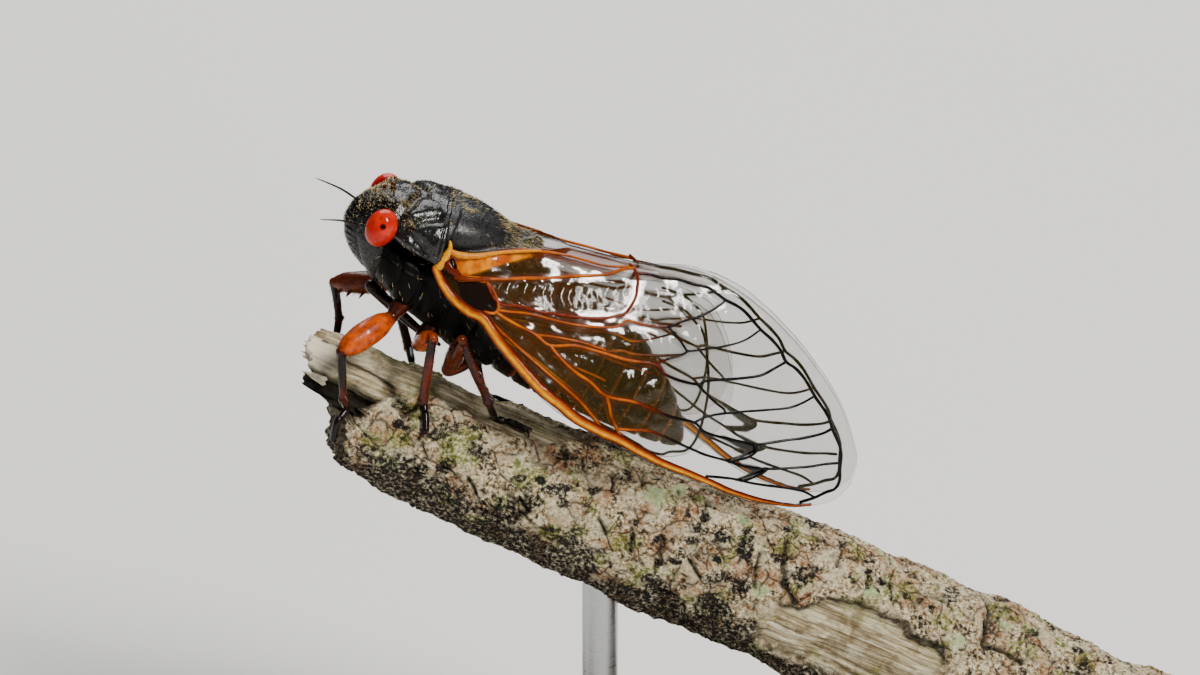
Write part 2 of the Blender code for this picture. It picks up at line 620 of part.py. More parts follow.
def make_pronotum(material, insect):
    """Collar behind the head, arched over the fore part of the thorax."""
    rings = []
    arch = 18
    for row in range(9):
        share = row / 8
        top = curve(PRONOTUM_TOP, share)
        width = curve(PRONOTUM_WIDTH, share)
        ring = []
        for step in range(arch + 1):
            turn = math.pi * (step / arch - 0.5)
            y = width * power(math.sin(turn), 0.8)
            z = PRONOTUM_FLOOR + (top - PRONOTUM_FLOOR) * power(math.cos(turn), 0.75)
            ring.append((y, z))
        for step in range(1, 8):
            ring.append((width * (1.0 - 2.0 * step / 8), PRONOTUM_FLOOR))
        placed = []
        for y, z in ring:
            front = head_rear(z) + GAP
            rear = pronotum_rear(z)
            placed.append((front + share * (rear - front), y, z))
        rings.append(placed)
    points, faces = loft(rings)
    return make_object("pronotum", points, faces, material, insect)


def make_mesonotum(material, insect):
    """Domed shield between the wing roots, ending in a small raised cross."""
    rings = []
    arch = 16
    rows = 12
    for row in range(rows + 1):
        share = row / rows
        x = MESONOTUM_FRONT + share * (MESONOTUM_TAIL - MESONOTUM_FRONT)
        top = curve(MESONOTUM_TOP, x)
        width = curve(MESONOTUM_WIDTH, x)
        floor = straight(MESONOTUM_FLOOR, x)
        ring = []
        for step in range(arch + 1):
            turn = math.pi * (step / arch - 0.5)
            ring.append((power(math.sin(turn), 0.8), floor + (top - floor) * power(math.cos(turn), 0.7)))
        for step in range(1, 8):
            ring.append((1.0 - 2.0 * step / 8, floor))
        placed = []
        for across, z in ring:
            front = pronotum_rear(z) + GAP
            place = front + share * (MESONOTUM_TAIL - front)
            placed.append((place, across * body_limit(place, z, width, 1), z))
        rings.append(placed)
    points, faces = loft(rings)
    return make_object("mesonotum", points, faces, material, insect)


def thorax_point(x, turn):
    """Point of the thorax skin at a station; the turn is 0 at the back and pi at the belly."""
    top = straight(THORAX_TOP, x)
    belly = curve(THORAX_BELLY, x)
    width = curve(THORAX_WIDTH, x)
    middle = (top + belly) / 2
    z = middle + (top - belly) / 2 * power(math.cos(turn), 0.7)
    front = head_rear(z) + GAP
    share = (x - THORAX_FRONT) / (THORAX_TAIL - THORAX_FRONT)
    place = front + share * (THORAX_TAIL - front)
    return Vector((place, body_limit(place, z, width) * power(math.sin(turn), 0.8), z))


def make_thorax(material, insect):
    """Lower thorax, which carries legs and wings."""
    sides = 22
    rings = [[thorax_point(x, 2 * math.pi * side / sides) for side in range(sides)] for x in THORAX_STATIONS]
    points, faces = loft(rings)
    return make_object("thorax", points, faces, material, insect)


def abdomen_point(x, turn):
    """Point of the abdomen skin; each ring overlaps the next like a tile."""
    back = curve(ABDOMEN_BACK, x)
    belly = curve(ABDOMEN_BELLY, x)
    width = curve(ABDOMEN_WIDTH, x)
    middle = (back + belly) / 2
    z = middle + (back - belly) / 2 * power(math.cos(turn), 0.9)
    return Vector((x, body_limit(x, z, width) * power(math.sin(turn), 0.9), z))


def make_abdomen(material, insect):
    """Abdomen of overlapping rings, drawn in to the tail."""
    rings = []
    sides = 20
    length = ABDOMEN_TAIL - ABDOMEN_START
    for row in range(ABDOMEN_RINGS):
        start = ABDOMEN_START + length * row / ABDOMEN_RINGS
        end = ABDOMEN_START + length * (row + 1) / ABDOMEN_RINGS
        middle = Vector((0.0, 0.0, (curve(ABDOMEN_BACK, end) + curve(ABDOMEN_BELLY, end)) / 2))
        for place in (start + 0.12 * (end - start), end - 0.06 * (end - start)):
            rings.append([abdomen_point(place, 2 * math.pi * side / sides) for side in range(sides)])
        shrink = 1.0 - RING_STEP / curve(ABDOMEN_WIDTH, end)
        if row < ABDOMEN_RINGS - 1:
            rings.append([Vector((end, p.y * shrink, middle.z + (p.z - middle.z) * shrink))
                          for p in (abdomen_point(end, 2 * math.pi * side / sides) for side in range(sides))])
    points, faces = loft(rings)
    return make_object("abdomen", points, faces, material, insect)


# Legs

def outward(place, side):
    """Leg place given with its outward distance, in the insect's frame."""
    return Vector((place[0], side * place[1], place[2]))


def leg_root(plan):
    """Place just off the thorax skin where a coxa starts, and its outward direction."""
    x, turn = plan["root"]
    turn = math.radians(turn)
    skin = thorax_point(x, turn)
    ahead = thorax_point(x + 0.1, turn) - thorax_point(x - 0.1, turn)
    around = thorax_point(x, turn + 0.05) - thorax_point(x, turn - 0.05)
    normal = ahead.cross(around).normalized()
    if normal.dot(skin - Vector((x, 0.0, -2.0))) < 0.0:
        normal.negate()
    return outward(skin + normal * GAP, plan["side"]), outward(normal, plan["side"])


def make_femur(name, plan, thorns, material, insect):
    """Coxa, trochanter and thigh in one piece, from the thorax to the knee."""
    root, normal = leg_root(plan)
    hip = outward(plan["hip"], plan["side"])
    knee = outward(plan["knee"], plan["side"])
    thick = plan["femur"]
    corners = [root, root + normal * COXA_REACH, hip, hip.lerp(knee, 0.33), hip.lerp(knee, 0.66), knee]
    route = smooth_path(corners, 2)
    radii = spread([*COXA_RADII, 0.92 * thick, thick, KNEE_RADIUS], len(route))
    radii[-1] = LIMB_END_RADIUS
    points, faces = loft(tube_rings(route, radii, LIMB_SIDES))
    femur = make_object(name, points, faces, material, insect)
    if thorns:
        line = (knee - hip).normalized()
        below = Vector((-0.5, -0.25 * plan["side"], -0.8))
        below = (below - line * below.dot(line)).normalized()
        spines = []
        for share, length in THORN_PLACES:
            foot = hip.lerp(knee, share) + below * thick * 0.55
            spines.append(cone(foot, foot + (below + line * 0.45) * length, THORN_RADIUS))
        join(femur, spines)
    return femur


def make_tibia(name, plan, thorns, material, insect):
    """Shin, from just below the knee to the ankle."""
    knee = outward(plan["knee"], plan["side"])
    ankle = outward(plan["ankle"], plan["side"])
    line = (ankle - knee).normalized()
    thigh = (knee - outward(plan["hip"], plan["side"])).normalized()
    fold = min(0.0, line.dot(thigh))
    start = knee + (line - thigh * fold).normalized() * (SHIN_START + GAP - LIMB_END_RADIUS * fold)
    line = (ankle - start).normalized()
    bow = Vector((0.0, plan["side"] * SHIN_BOW, 0.0))
    route = smooth_path([start, start.lerp(ankle, 0.5) + bow, ankle], 4)
    thin = plan["tibia"]
    radii = spread([LIMB_END_RADIUS, thin, thin, 0.9 * thin, 0.95 * thin], len(route))
    points, faces = loft(tube_rings(route, radii, LIMB_SIDES))
    tibia = make_object(name, points, faces, material, insect)
    if thorns:
        out = Vector((0.5, plan["side"] * 0.6, 0.3))
        out = (out - line * out.dot(line)).normalized()
        spines = []
        for share in SPUR_PLACES:
            foot = start.lerp(ankle, share) + bow * 0.5 + out * thin * 0.3
            spines.append(cone(foot, foot + (out + line * 0.8) * SPUR_LENGTH, SPUR_RADIUS))
        join(tibia, spines)
    return tibia


def make_tarsus(name, plan, material, insect):
    """Foot along the stick, ending in two claws."""
    ankle = outward(plan["ankle"], plan["side"])
    knee = outward(plan["knee"], plan["side"])
    toes = [to_insect(stick_point(station, angle, TARSUS_LIFT)) for station, angle in plan["toes"]]
    line = (ankle - knee).normalized()
    start = ankle + (toes[0] - ankle).normalized() * ANKLE_OFFSET + line * (GAP + ANKLE_OFFSET)
    route = smooth_path([start] + toes, 3)
    points, faces = loft(tube_rings(route, [TARSUS_RADIUS] * len(route), LIMB_SIDES))
    tarsus = make_object(name, points, faces, material, insect)
    toe = toes[-1]
    ahead = (toe - toes[-2]).normalized()
    above = to_insect(stick_point(*plan["toes"][-1], TARSUS_LIFT + 1.0)) - toe
    across = ahead.cross(above).normalized()
    claws = []
    for swing in (-1, 1):
        tip = toe + (ahead + across * swing * CLAW_SPLAY).normalized() * CLAW_LENGTH
        claws.append(cone(toe - ahead * CLAW_SINK, tip, CLAW_RADIUS))
    join(tarsus, claws)
    return tarsus


# Wings

def inside(outline, x, z):
    """Whether a place lies within an outline."""
    found = False
    for (x0, z0), (x1, z1) in zip(outline, outline[1:] + outline[:1]):
        if (z0 > z) != (z1 > z) and x < x0 + (z - z0) * (x1 - x0) / (z1 - z0):
            found = not found
    return found


def distance(line, x, z):
    """Distance from a place to a line of straight pieces."""
    best = 99.0
    for (x0, z0), (x1, z1) in zip(line, line[1:]):
        dx, dz = x1 - x0, z1 - z0
        share = max(0.0, min(1.0, ((x - x0) * dx + (z - z0) * dz) / (dx * dx + dz * dz)))
        best = min(best, math.hypot(x - x0 - share * dx, z - z0 - share * dz))
    return best


def beside(line, offset):
    """Line that runs beside another one."""
    shifted = []
    for index, (x, z) in enumerate(line):
        before = line[max(index - 1, 0)]
        after = line[min(index + 1, len(line) - 1)]
        dx, dz = after[0] - before[0], after[1] - before[1]
        length = math.hypot(dx, dz)
        shifted.append((x - dz / length * offset, z + dx / length * offset))
    return shifted


def wing_mesh(outline, veins, depth):
    """Solid wing on the +y side: the membrane with its veins raised on it."""
    verts = [Vector(place) for place in outline]
    count = len(verts)
    edges = [(index, (index + 1) % count) for index in range(count)]
    for line, half, _ in veins:
        sides = (0.0, half) if line is COSTA else (0.0, half, -half)
        for offset in sides:
            row = beside(line, offset) if offset else line
            first = len(verts)
            verts += [Vector(place) for place in row]
            edges += [(first + index, first + index + 1) for index in range(len(row) - 1)]
    low_x = min(x for x, _ in outline)
    low_z = min(z for _, z in outline)
    for column in range(14):
        for row in range(7):
            place = (low_x + 1.0 + 2.8 * column, low_z + 1.0 + 2.2 * row)
            near = min(distance(line, *place) for line, _, _ in veins)
            rim = distance(outline + outline[:1], *place)
            if inside(outline, *place) and near > 0.9 and rim > 0.8:
                verts.append(Vector(place))
    cut = geometry.delaunay_2d_cdt(verts, edges, [], 0, 0.05)
    places = cut[0]
    triangles = []
    for face in cut[2]:
        x = sum(places[i].x for i in face) / 3
        z = sum(places[i].y for i in face) / 3
        if inside(outline, x, z):
            triangles.append(tuple(face))
    used = sorted({index for face in triangles for index in face})
    order = {index: number for number, index in enumerate(used)}
    triangles = [tuple(order[index] for index in face) for face in triangles]
    upper = []
    lower = []
    for index in used:
        x, z = places[index]
        rise = 0.0
        for line, half, height in veins:
            rise = max(rise, height * (1.0 - distance(line, x, z) / half))
        normal = wing_normal(x, z)
        middle = Vector((x, wing_side(x, z), z)) - normal * depth
        upper.append(middle + normal * (WING_THICK / 2 + rise))
        lower.append(middle - normal * WING_THICK / 2)
    return upper, lower, triangles


def make_wing(name, side, outline, veins, depth, material, insect):
    """Wing with the same triangles on both faces, closed round its rim."""
    upper, lower, triangles = wing_mesh(outline, veins, depth)
    count = len(upper)
    points = [(p.x, side * p.y, p.z) for p in upper + lower]
    faces = list(triangles) + [tuple(count + index for index in reversed(face)) for face in triangles]
    seen = {}
    for face in triangles:
        for a, b in zip(face, face[1:] + face[:1]):
            seen[(a, b)] = True
    for a, b in seen:
        if (b, a) not in seen:
            faces.append((b, a, count + a))
            faces.append((b, count + a, count + b))
    return make_object(name, points, faces, material, insect)


def fore_wing_plan():
    """Margin and veins of the fore wing."""
    rounded = [(place.x, place.y) for place in smooth_path([(x, z, 0.0) for x, z in MARGIN_APEX], 2)]
    outline = beside(COSTA, -COSTA_HALF_WIDTH) + rounded + MARGIN_INNER
    veins = [(line, RIDGE_HALF_WIDTH, RIDGE_HEIGHT) for line in FORE_VEINS.values()]
    veins.append((COSTA, COSTA_HALF_WIDTH, COSTA_HEIGHT))
    return outline, veins


def hind_wing_plan():
    """Margin and veins of the hind wing."""
    return HIND_MARGIN, [(line, RIDGE_HALF_WIDTH, 0.0) for line in HIND_VEINS.values()]


def main():
    """Model the whole object."""
    for thing in list(bpy.data.objects):
        bpy.data.objects.remove(thing)
    black = make_material("black_shell", (0.012, 0.011, 0.012), 0.22)
    belly = make_material("dark_shell", (0.03, 0.02, 0.015), 0.35)
    red = make_material("eye_red", (0.75, 0.07, 0.01), 0.15)
    orange = make_material("leg_orange", (0.62, 0.2, 0.03), 0.3)
    brown = make_material("leg_dark", (0.09, 0.03, 0.015), 0.35)
    membrane = make_material("wing_membrane", (0.6, 0.5, 0.3), 0.15, 0.0, 0.35)
    bark = make_material("bark", (0.28, 0.25, 0.2), 0.9)
    walnut = make_material("stand_wood", (0.05, 0.03, 0.02), 0.45)
    steel = make_material("stand_steel", (0.6, 0.6, 0.6), 0.3, 1.0)

    make_base(walnut)
    for place, x in ROD_PLACES.items():
        make_rod(f"stand_rod_{place}", x, steel)
    make_stick(bark)

    insect = bpy.data.objects.new("insect_frame", None)
    bpy.context.collection.objects.link(insect)
    insect.location = [value * MM for value in INSECT_AT]
    insect.rotation_euler = (0.0, PITCH, 0.0)
    bpy.context.view_layer.update()

    make_head(black, insect)
    for word, side in (("left", -1), ("right", 1)):
        make_eye(f"eye_{word}", side, red, insect)
        make_antenna(f"antenna_{word}", side, ANTENNA_TIPS[word], brown, insect)
    make_beak(brown, insect)
    make_pronotum(black, insect)
    make_mesonotum(black, insect)
    make_thorax(black, insect)
    make_abdomen(belly, insect)
    for word, plan in LEGS.items():
        make_femur(f"leg_{word}_femur", plan, word.startswith("front"), orange, insect)
        make_tibia(f"leg_{word}_tibia", plan, word.startswith("hind"), brown, insect)
        make_tarsus(f"leg_{word}_tarsus", plan, brown, insect)
    for word, side in (("left", -1), ("right", 1)):
        make_wing(f"forewing_{word}", side, *fore_wing_plan(), 0.0, membrane, insect)
        make_wing(f"hindwing_{word}", side, *hind_wing_plan(), WING_SPACING, membrane, insect)


main()
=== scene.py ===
"""Looks of a cicada at rest on a broken stick.

Shapes are worked out in millimetres: the insect in its own frame (x to the tail, y to its right, z to its
back), the stick and the stand in the world's. A finished piece is moved to its place in metres.
"""
import math

import bmesh
import bpy
import numpy as np
from mathutils import Matrix, Vector, noise
from mathutils.bvhtree import BVHTree


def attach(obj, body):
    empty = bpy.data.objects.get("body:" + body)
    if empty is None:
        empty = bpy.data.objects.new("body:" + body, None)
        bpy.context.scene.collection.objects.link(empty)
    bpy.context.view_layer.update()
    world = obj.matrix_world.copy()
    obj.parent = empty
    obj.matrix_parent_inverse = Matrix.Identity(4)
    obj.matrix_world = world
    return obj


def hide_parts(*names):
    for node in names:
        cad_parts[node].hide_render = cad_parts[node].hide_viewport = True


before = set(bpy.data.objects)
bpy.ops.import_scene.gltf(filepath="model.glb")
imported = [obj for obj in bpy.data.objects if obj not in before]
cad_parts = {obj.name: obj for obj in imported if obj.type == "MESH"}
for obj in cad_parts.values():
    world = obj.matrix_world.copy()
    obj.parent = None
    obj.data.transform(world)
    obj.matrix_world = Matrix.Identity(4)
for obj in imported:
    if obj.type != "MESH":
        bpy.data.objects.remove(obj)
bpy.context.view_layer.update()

MM = 0.001
GAP = 0.3

# Stand
BASE_SIZE = (84.0, 44.0, 5.0)
BASE_CORNER = 5.0
BASE_BEVEL = 0.8
ROD_RADIUS = 1.4
ROD_PLACES = {"front": -11.0, "rear": 16.0}
FERRULE_RADIUS = 2.3
FERRULE_HEIGHT = 1.3

# Stick
STICK_AT = (-33.9, 44.2)
STICK_SLOPE = math.radians(24.7)
STICK_LENGTH = 75.2
STICK_GIRTH = [(0.0, 5.0), (6.0, 4.95), (13.0, 5.2), (21.0, 5.4), (33.0, 5.55), (42.0, 5.9), (52.0, 5.8),
               (62.0, 5.4), (76.0, 5.0)]
STICK_SAG = [(7.0, 0.0), (22.0, 0.45), (38.0, 0.45), (50.0, 0.2), (60.0, 0.0)]
BARK_THICKNESS = 0.55
BARE_END = 22.5
BARE_TOP_HALF = [(1.0, 120.0), (4.0, 70.0), (6.0, 47.0), (9.0, 32.0), (13.5, 39.0), (17.0, 32.0),
                 (20.0, 18.0), (22.5, 0.0)]
BARE_TOP_ANGLE = 92.0
BREAK_LINE = [(-90.0, 4.6), (-60.0, 4.6), (-30.0, 4.2), (-12.0, 3.6), (4.0, 2.9), (12.0, 1.2), (22.0, -0.9),
              (50.0, -1.0), (72.0, -1.6), (90.0, -1.2), (110.0, -0.9), (135.0, -0.4), (180.0, 0.8),
              (220.0, 2.8), (270.0, 4.6)]
SCAR_HALF = 14.0
SCAR_ANGLE = 14.0
SCAR_ENDS = (39.0, 53.0)
SCAR_DEPTH = 0.7

# Insect
INSECT_AT = Vector((-21.0, 0.0, 53.8))
PITCH = math.radians(28.0)
FACE = [(-4.35, -6.2), (-3.9, -6.9), (-3.5, -7.6), (-3.0, -8.4), (-2.1, -9.3), (-1.1, -9.9),
        (-0.1, -10.2), (1.3, -10.1), (2.2, -9.3), (2.8, -8.6), (3.2, -8.1)]
HEAD_WIDTH = [(-4.35, 0.6), (-3.8, 1.1), (-3.0, 1.65), (-2.1, 2.15), (-1.1, 2.6), (0.0, 2.85), (2.4, 2.9),
              (2.8, 2.75), (3.2, 2.4)]
HEAD_TOP = 3.4
HEAD_REAR = -7.9
HEAD_LEAN = 0.26
EYE_AT = Vector((-8.0, 3.9, 1.1))
EYE_HALF = Vector((1.15, 1.15, 1.5))
ANTENNA_ROOT = (2.2, 0.1)
ANTENNA_TIPS = {"left": (-12.3, 3.5, -0.6), "right": (-13.2, 3.5, -0.25)}
BEAK = [(-5.9, 0.0, -4.9), (-3.5, 0.0, -5.7), (-1.2, 0.0, -6.35), (0.9, 0.0, -6.75)]
PRONOTUM_TOP = [(0.0, 3.1), (0.3, 3.5), (0.6, 3.95), (1.0, 4.35)]
PRONOTUM_WIDTH = [(0.0, 3.1), (0.12, 3.5), (0.4, 4.4), (0.75, 4.6), (1.0, 4.75)]
PRONOTUM_FLOOR = 0.8
PRONOTUM_REAR = -3.95
PRONOTUM_REAR_LEAN = 0.2
SHIELD_CREST = 4.4
MESONOTUM_FRONT = -3.6
MESONOTUM_TOP = [(-3.6, 4.45), (-2.6, 4.65), (-1.05, 4.75), (0.8, 4.55), (2.2, 4.35), (3.8, 4.2), (4.2, 3.9)]
MESONOTUM_WIDTH = [(-3.6, 4.1), (-2.0, 3.8), (0.0, 3.0), (1.4, 2.4), (2.6, 1.9), (3.6, 1.4), (4.2, 0.9)]
MESONOTUM_FLOOR = [(-3.6, 2.0), (4.2, 3.2)]
MESONOTUM_TAIL = 4.2
THORAX_FRONT = -6.9
THORAX_TAIL = 4.5
THORAX_TOP = [(-7.5, 0.5), (-3.2, 0.5), (-2.75, 1.65), (4.5, 2.85)]
THORAX_BELLY = [(-6.9, -3.5), (-5.5, -4.2), (-2.5, -5.1), (1.2, -6.0), (4.5, -6.2)]
THORAX_WIDTH = [(-6.9, 3.2), (-5.5, 3.8), (-3.0, 3.9), (0.0, 4.0), (4.5, 4.0)]
ABDOMEN_START = 4.8
ABDOMEN_TAIL = 21.2
ABDOMEN_BACK = [(4.8, 3.1), (8.0, 2.9), (12.0, 2.0), (16.0, 0.2), (19.0, -2.0), (20.6, -3.7), (21.2, -4.7)]
ABDOMEN_BELLY = [(4.8, -6.2), (8.0, -6.5), (12.0, -6.4), (16.0, -6.2), (19.0, -6.0), (20.6, -5.7),
                 (21.2, -5.3)]
ABDOMEN_WIDTH = [(4.8, 4.0), (8.0, 4.3), (12.0, 4.1), (16.0, 3.2), (19.0, 2.0), (20.6, 1.0), (21.2, 0.4)]
ABDOMEN_RINGS = 9

# Wings
WING_THICK = 0.5
WING_SPACING = 0.85
WING_REACH = 7.8
WING_DEPTH = 11.5
WING_INNER = 1.15
WING_ROOT_OUT = 3.15
WING_TAIL_IN = 0.72
WING_SHOULDER = 0.5
WING_BEND = 0.7
WING_FRONT = -3.0
INNER_LINE = [(-3.0, 1.4), (-2.0, 2.1), (-0.4, 3.0), (1.4, 3.8), (3.5, 4.5), (7.0, 5.4), (11.1, 6.3),
              (14.1, 7.4), (17.5, 8.3), (20.4, 8.0), (23.6, 7.1), (27.0, 5.5), (30.5, 3.4), (33.2, 0.8),
              (34.4, -1.5)]
COSTAL_EDGE = [(-2.7, 0.2), (-2.1, -0.7), (-0.8, -1.45), (0.6, -1.6), (2.1, -1.7), (4.0, -2.6), (7.1, -3.8),
               (10.1, -4.6), (14.2, -5.1), (17.5, -5.4), (20.6, -5.7), (23.9, -6.0), (27.5, -6.2),
               (30.9, -5.4), (32.5, -4.6), (33.9, -3.4), (34.4, -2.0)]
INNER_EDGE = [(-2.7, 1.4), (-2.1, 2.1), (-0.4, 3.0), (1.4, 3.8), (3.6, 4.5), (5.5, 5.0), (8.9, 5.8),
              (11.4, 6.4), (13.3, 7.3), (15.1, 8.0), (17.5, 8.3), (20.5, 7.9), (23.7, 7.0), (27.1, 5.5),
              (30.6, 3.4), (33.2, 0.9), (34.1, -0.4), (34.4, -2.0)]
HIND_LOWER = [(0.6, -0.4), (2.5, -1.3), (6.2, -2.0), (10.0, -2.7), (13.5, -4.1), (16.2, -4.3), (18.4, -4.9),
              (20.1, -4.9), (22.1, -3.7), (23.0, -1.7)]
HIND_UPPER = [(0.6, 0.5), (2.6, 2.0), (5.0, 3.0), (8.0, 4.0), (11.1, 4.9), (14.1, 6.2), (17.4, 6.3),
              (19.4, 5.2), (21.5, 3.0), (22.7, 0.9), (23.0, -1.7)]

# Legs. Hip, knee and ankle are (x, outward y, z); toes are (station, angle) on the stick
LEGS = {
    "front_left": {"side": -1, "root": (-4.6, 140), "hip": (-3.9, 3.3, -5.2), "knee": (-6.4, 6.0, -8.5),
                   "ankle": (-4.4, 5.6, -12.1), "toes": [(3.3, 15), (3.0, 3), (3.3, -13)],
                   "femur": 1.02, "tibia": 0.36},
    "front_right": {"side": 1, "root": (-4.6, 140), "hip": (-4.1, 3.3, -5.1), "knee": (-7.85, 5.0, -7.8),
                    "ankle": (-6.2, 4.8, -10.2), "toes": [(1.2, 138), (1.5, 150), (2.0, 166)],
                    "femur": 0.9, "tibia": 0.36},
    "middle_left": {"side": -1, "root": (-1.5, 150), "hip": (-1.1, 3.7, -6.1), "knee": (-0.9, 6.8, -4.0),
                    "ankle": (1.0, 5.5, -9.3), "toes": [(8.6, 47), (9.1, 37), (9.5, 26)],
                    "femur": 0.78, "tibia": 0.42},
    "middle_right": {"side": 1, "root": (-1.5, 150), "hip": (-1.6, 3.7, -6.3), "knee": (-3.9, 6.5, -6.1),
                     "ankle": (-0.1, 6.0, -10.3), "toes": [(7.6, 142), (8.2, 153), (8.8, 165)],
                     "femur": 0.78, "tibia": 0.42},
    "hind_left": {"side": -1, "root": (2.5, 152), "hip": (1.9, 3.7, -6.9), "knee": (1.2, 6.3, -3.3),
                  "ankle": (5.7, 4.1, -7.6), "toes": [(14.4, 68), (15.6, 70), (16.8, 68)],
                  "femur": 0.72, "tibia": 0.42},
    "hind_right": {"side": 1, "root": (2.5, 152), "hip": (1.9, 3.7, -6.9), "knee": (1.4, 6.3, -3.5),
                   "ankle": (5.0, 4.9, -8.5), "toes": [(13.6, 135), (14.8, 141), (16.0, 141)],
                   "femur": 0.72, "tibia": 0.42},
}
TARSUS_RADIUS = 0.31
TARSUS_LIFT = 0.38
CLAW_LENGTH = 0.95

# Camera: its aim and reach in millimetres, its height above the level, and the photo's frame in pixels
AIM = Vector((-11.0, 0.0, 48.0))
REACH = 461.5
LIFT = math.radians(22.0)
LENS = 180.0
SENSOR = 36.0
PHOTO_WIDTH = 1200
PHOTO_HEIGHT = 675

# Veins of the fore wing, read off the photo in its pixels, each with its half width in millimetres
COSTA = [(436, 268), (443, 284), (455, 300), (470, 312), (480, 316.5), (487, 323.5), (502, 345.5), (517, 363),
         (531, 379), (546, 394), (561, 405.5), (575, 417.5), (590, 426), (605, 433.5), (620, 440), (641, 452),
         (663, 463), (685, 471.6), (710, 482), (728, 490), (751.5, 497.5), (772, 502), (794, 505), (810, 504)]
COSTA_HALF = [(0.0, 0.34), (0.12, 0.44), (0.35, 0.46), (0.55, 0.42), (0.7, 0.32), (0.85, 0.22), (1.0, 0.12)]
FORE_VEINS = {
    "basal": ([(459, 280), (486, 282), (498, 303), (495, 313), (484, 312)], 0.13),
    "anal": ([(458, 276), (489, 279), (518, 278.5), (547, 278), (577, 276), (606, 274.5), (621, 270),
              (634, 268)], 0.13),
    "suture": ([(486, 282), (498, 303), (518, 306), (540, 312), (562, 315), (584, 318), (606, 318),
                (621, 315), (627, 312)], 0.13),
    "claval_tip": ([(627, 312), (635, 299), (637.6, 286), (637, 274), (630, 264)], 0.12),
    "cubitus": ([(497, 310), (524, 313), (546, 318), (568, 323.5), (590, 326.4), (615, 327), (627, 320.5),
                 (634, 322), (649, 326), (668, 327), (684, 321), (699, 316.6), (711, 311), (722, 303.6),
                 (724.9, 299.7)], 0.1),
    "upper_apical": ([(668, 327), (677.5, 337), (685, 348), (688, 351), (699, 350), (714, 348), (729.5, 345),
                      (745, 340), (760.6, 329.6)], 0.09),
    "cross_upper": ([(688, 351), (680.5, 355.6), (668, 359), (655, 364.5)], 0.09),
    "media": ([(497, 313), (517, 325), (536, 335), (550, 345.5), (575, 345.5), (600, 352), (627, 360),
               (655, 364.5), (663, 373), (678, 380), (698, 384.5), (703.5, 381.6), (716, 380), (737, 378.6),
               (760, 375.5), (775, 368), (786, 361.7)], 0.12),
    "media_upper": ([(536, 335), (555, 337), (580, 342), (605, 350)], 0.09),
    "media_lower": ([(698, 384.5), (704.5, 391.7), (713, 400.5), (723.6, 409), (726.5, 413), (743, 411.5),
                     (765, 410), (787, 408), (801, 403.5), (814.6, 396)], 0.1),
    "sector": ([(550, 345.5), (562, 360), (575, 372), (590, 382), (606, 396), (634, 402), (649, 408),
                (671, 417), (694, 422.5), (703, 431), (713, 435), (728, 438.7), (743, 442), (754, 444.5),
                (768, 443), (787, 440), (803, 438), (822, 433.5), (832, 428.4)], 0.12),
    "cross_middle": ([(726.5, 413), (713, 415), (703, 418), (694, 422.5)], 0.1),
    "radius_foot": ([(606, 396), (609, 405.6), (611, 417), (616.4, 429), (621, 438)], 0.12),
    "radius": ([(616.4, 429), (634, 430), (649, 431), (663, 436), (678, 443), (693, 449.6), (706, 455),
                (728, 461), (742.7, 466), (766, 468.7), (787, 468), (809, 466.5), (825, 464), (837.3, 463)],
               0.11),
    "cross_lower": ([(754.4, 444.5), (756, 450), (747, 456), (728, 461)], 0.2),
    "subcosta": ([(706, 476), (728, 478), (740, 480), (751.5, 483), (769, 485.6), (790, 488.5), (804, 491.5),
                  (814.6, 497.4)], 0.11),
    "cross_last": ([(766, 468.7), (760, 473), (750, 477), (740, 480)], 0.2),
    "ambient": ([(634, 273), (650, 274.5), (661, 277.6), (676, 279), (694, 284.4), (708, 287.5),
                 (717, 293.6), (724.9, 299.7), (737, 306), (746, 313), (760.6, 329.6), (771, 339),
                 (780, 349.5), (786, 361.7), (795, 368), (804.5, 378.6), (814.6, 396), (823, 408),
                 (829, 418), (832, 428.4), (838, 441.6), (841, 453), (840, 468), (839.5, 480), (835, 488.5),
                 (826, 492), (814.6, 497.4), (800, 502)], 0.13),
    "margin": ([(500, 252), (520, 250), (538, 251), (562, 254.5), (584, 260), (606, 266), (630, 267)], 0.11),
    "radius_upper": ([(487, 318), (502, 333), (522, 351), (545, 371), (565, 388), (583, 405), (598, 424),
                      (604, 433)], 0.12),
}
HIND_VEINS = {
    "costa": ([(493, 322), (509, 335), (531, 350), (553, 367.5), (571, 382), (583, 392), (593, 408.6),
               (602, 419), (622, 430), (641, 441), (652, 448), (666, 452.6), (675, 450), (690, 449),
               (700, 438.7), (708, 415), (712.7, 380), (708, 333), (697, 316), (687, 304), (677, 299),
               (665, 294)], 0.11),
    "radius": ([(555, 350), (568, 357), (583, 364.5), (596, 370), (608, 376)], 0.09),
    "media": ([(513.7, 319), (539, 328), (561, 334.5), (583, 342.5), (602, 347), (623, 345.5), (641, 350),
               (685, 351)], 0.12),
    "cubitus": ([(602, 347), (612, 354), (632, 362), (660, 371)], 0.09),
    "anal": ([(498, 312), (540, 318), (580, 325), (615, 327), (634, 336), (656, 333), (678, 327)], 0.09),
}

# Furrows of the collar, read off the photo in its pixels; the one before its rear band is only a faint seam
COLLAR_FURROWS = [
    [(424, 190), (416, 200), (409.5, 207), (403, 214), (401, 218)],
    [(438.5, 219), (428, 220), (416, 224), (406, 228)],
    [(443, 191), (447, 200), (446, 210), (441, 218), (442.5, 226), (443, 236), (439, 248), (433, 257)],
    [(406, 228), (414, 238), (423.5, 249.5), (426, 257)],
]
COLLAR_SEAM = 2


def ease(amount):
    """Smooth step from 0 to 1."""
    amount = min(1.0, max(0.0, amount))
    return amount * amount * (3.0 - 2.0 * amount)


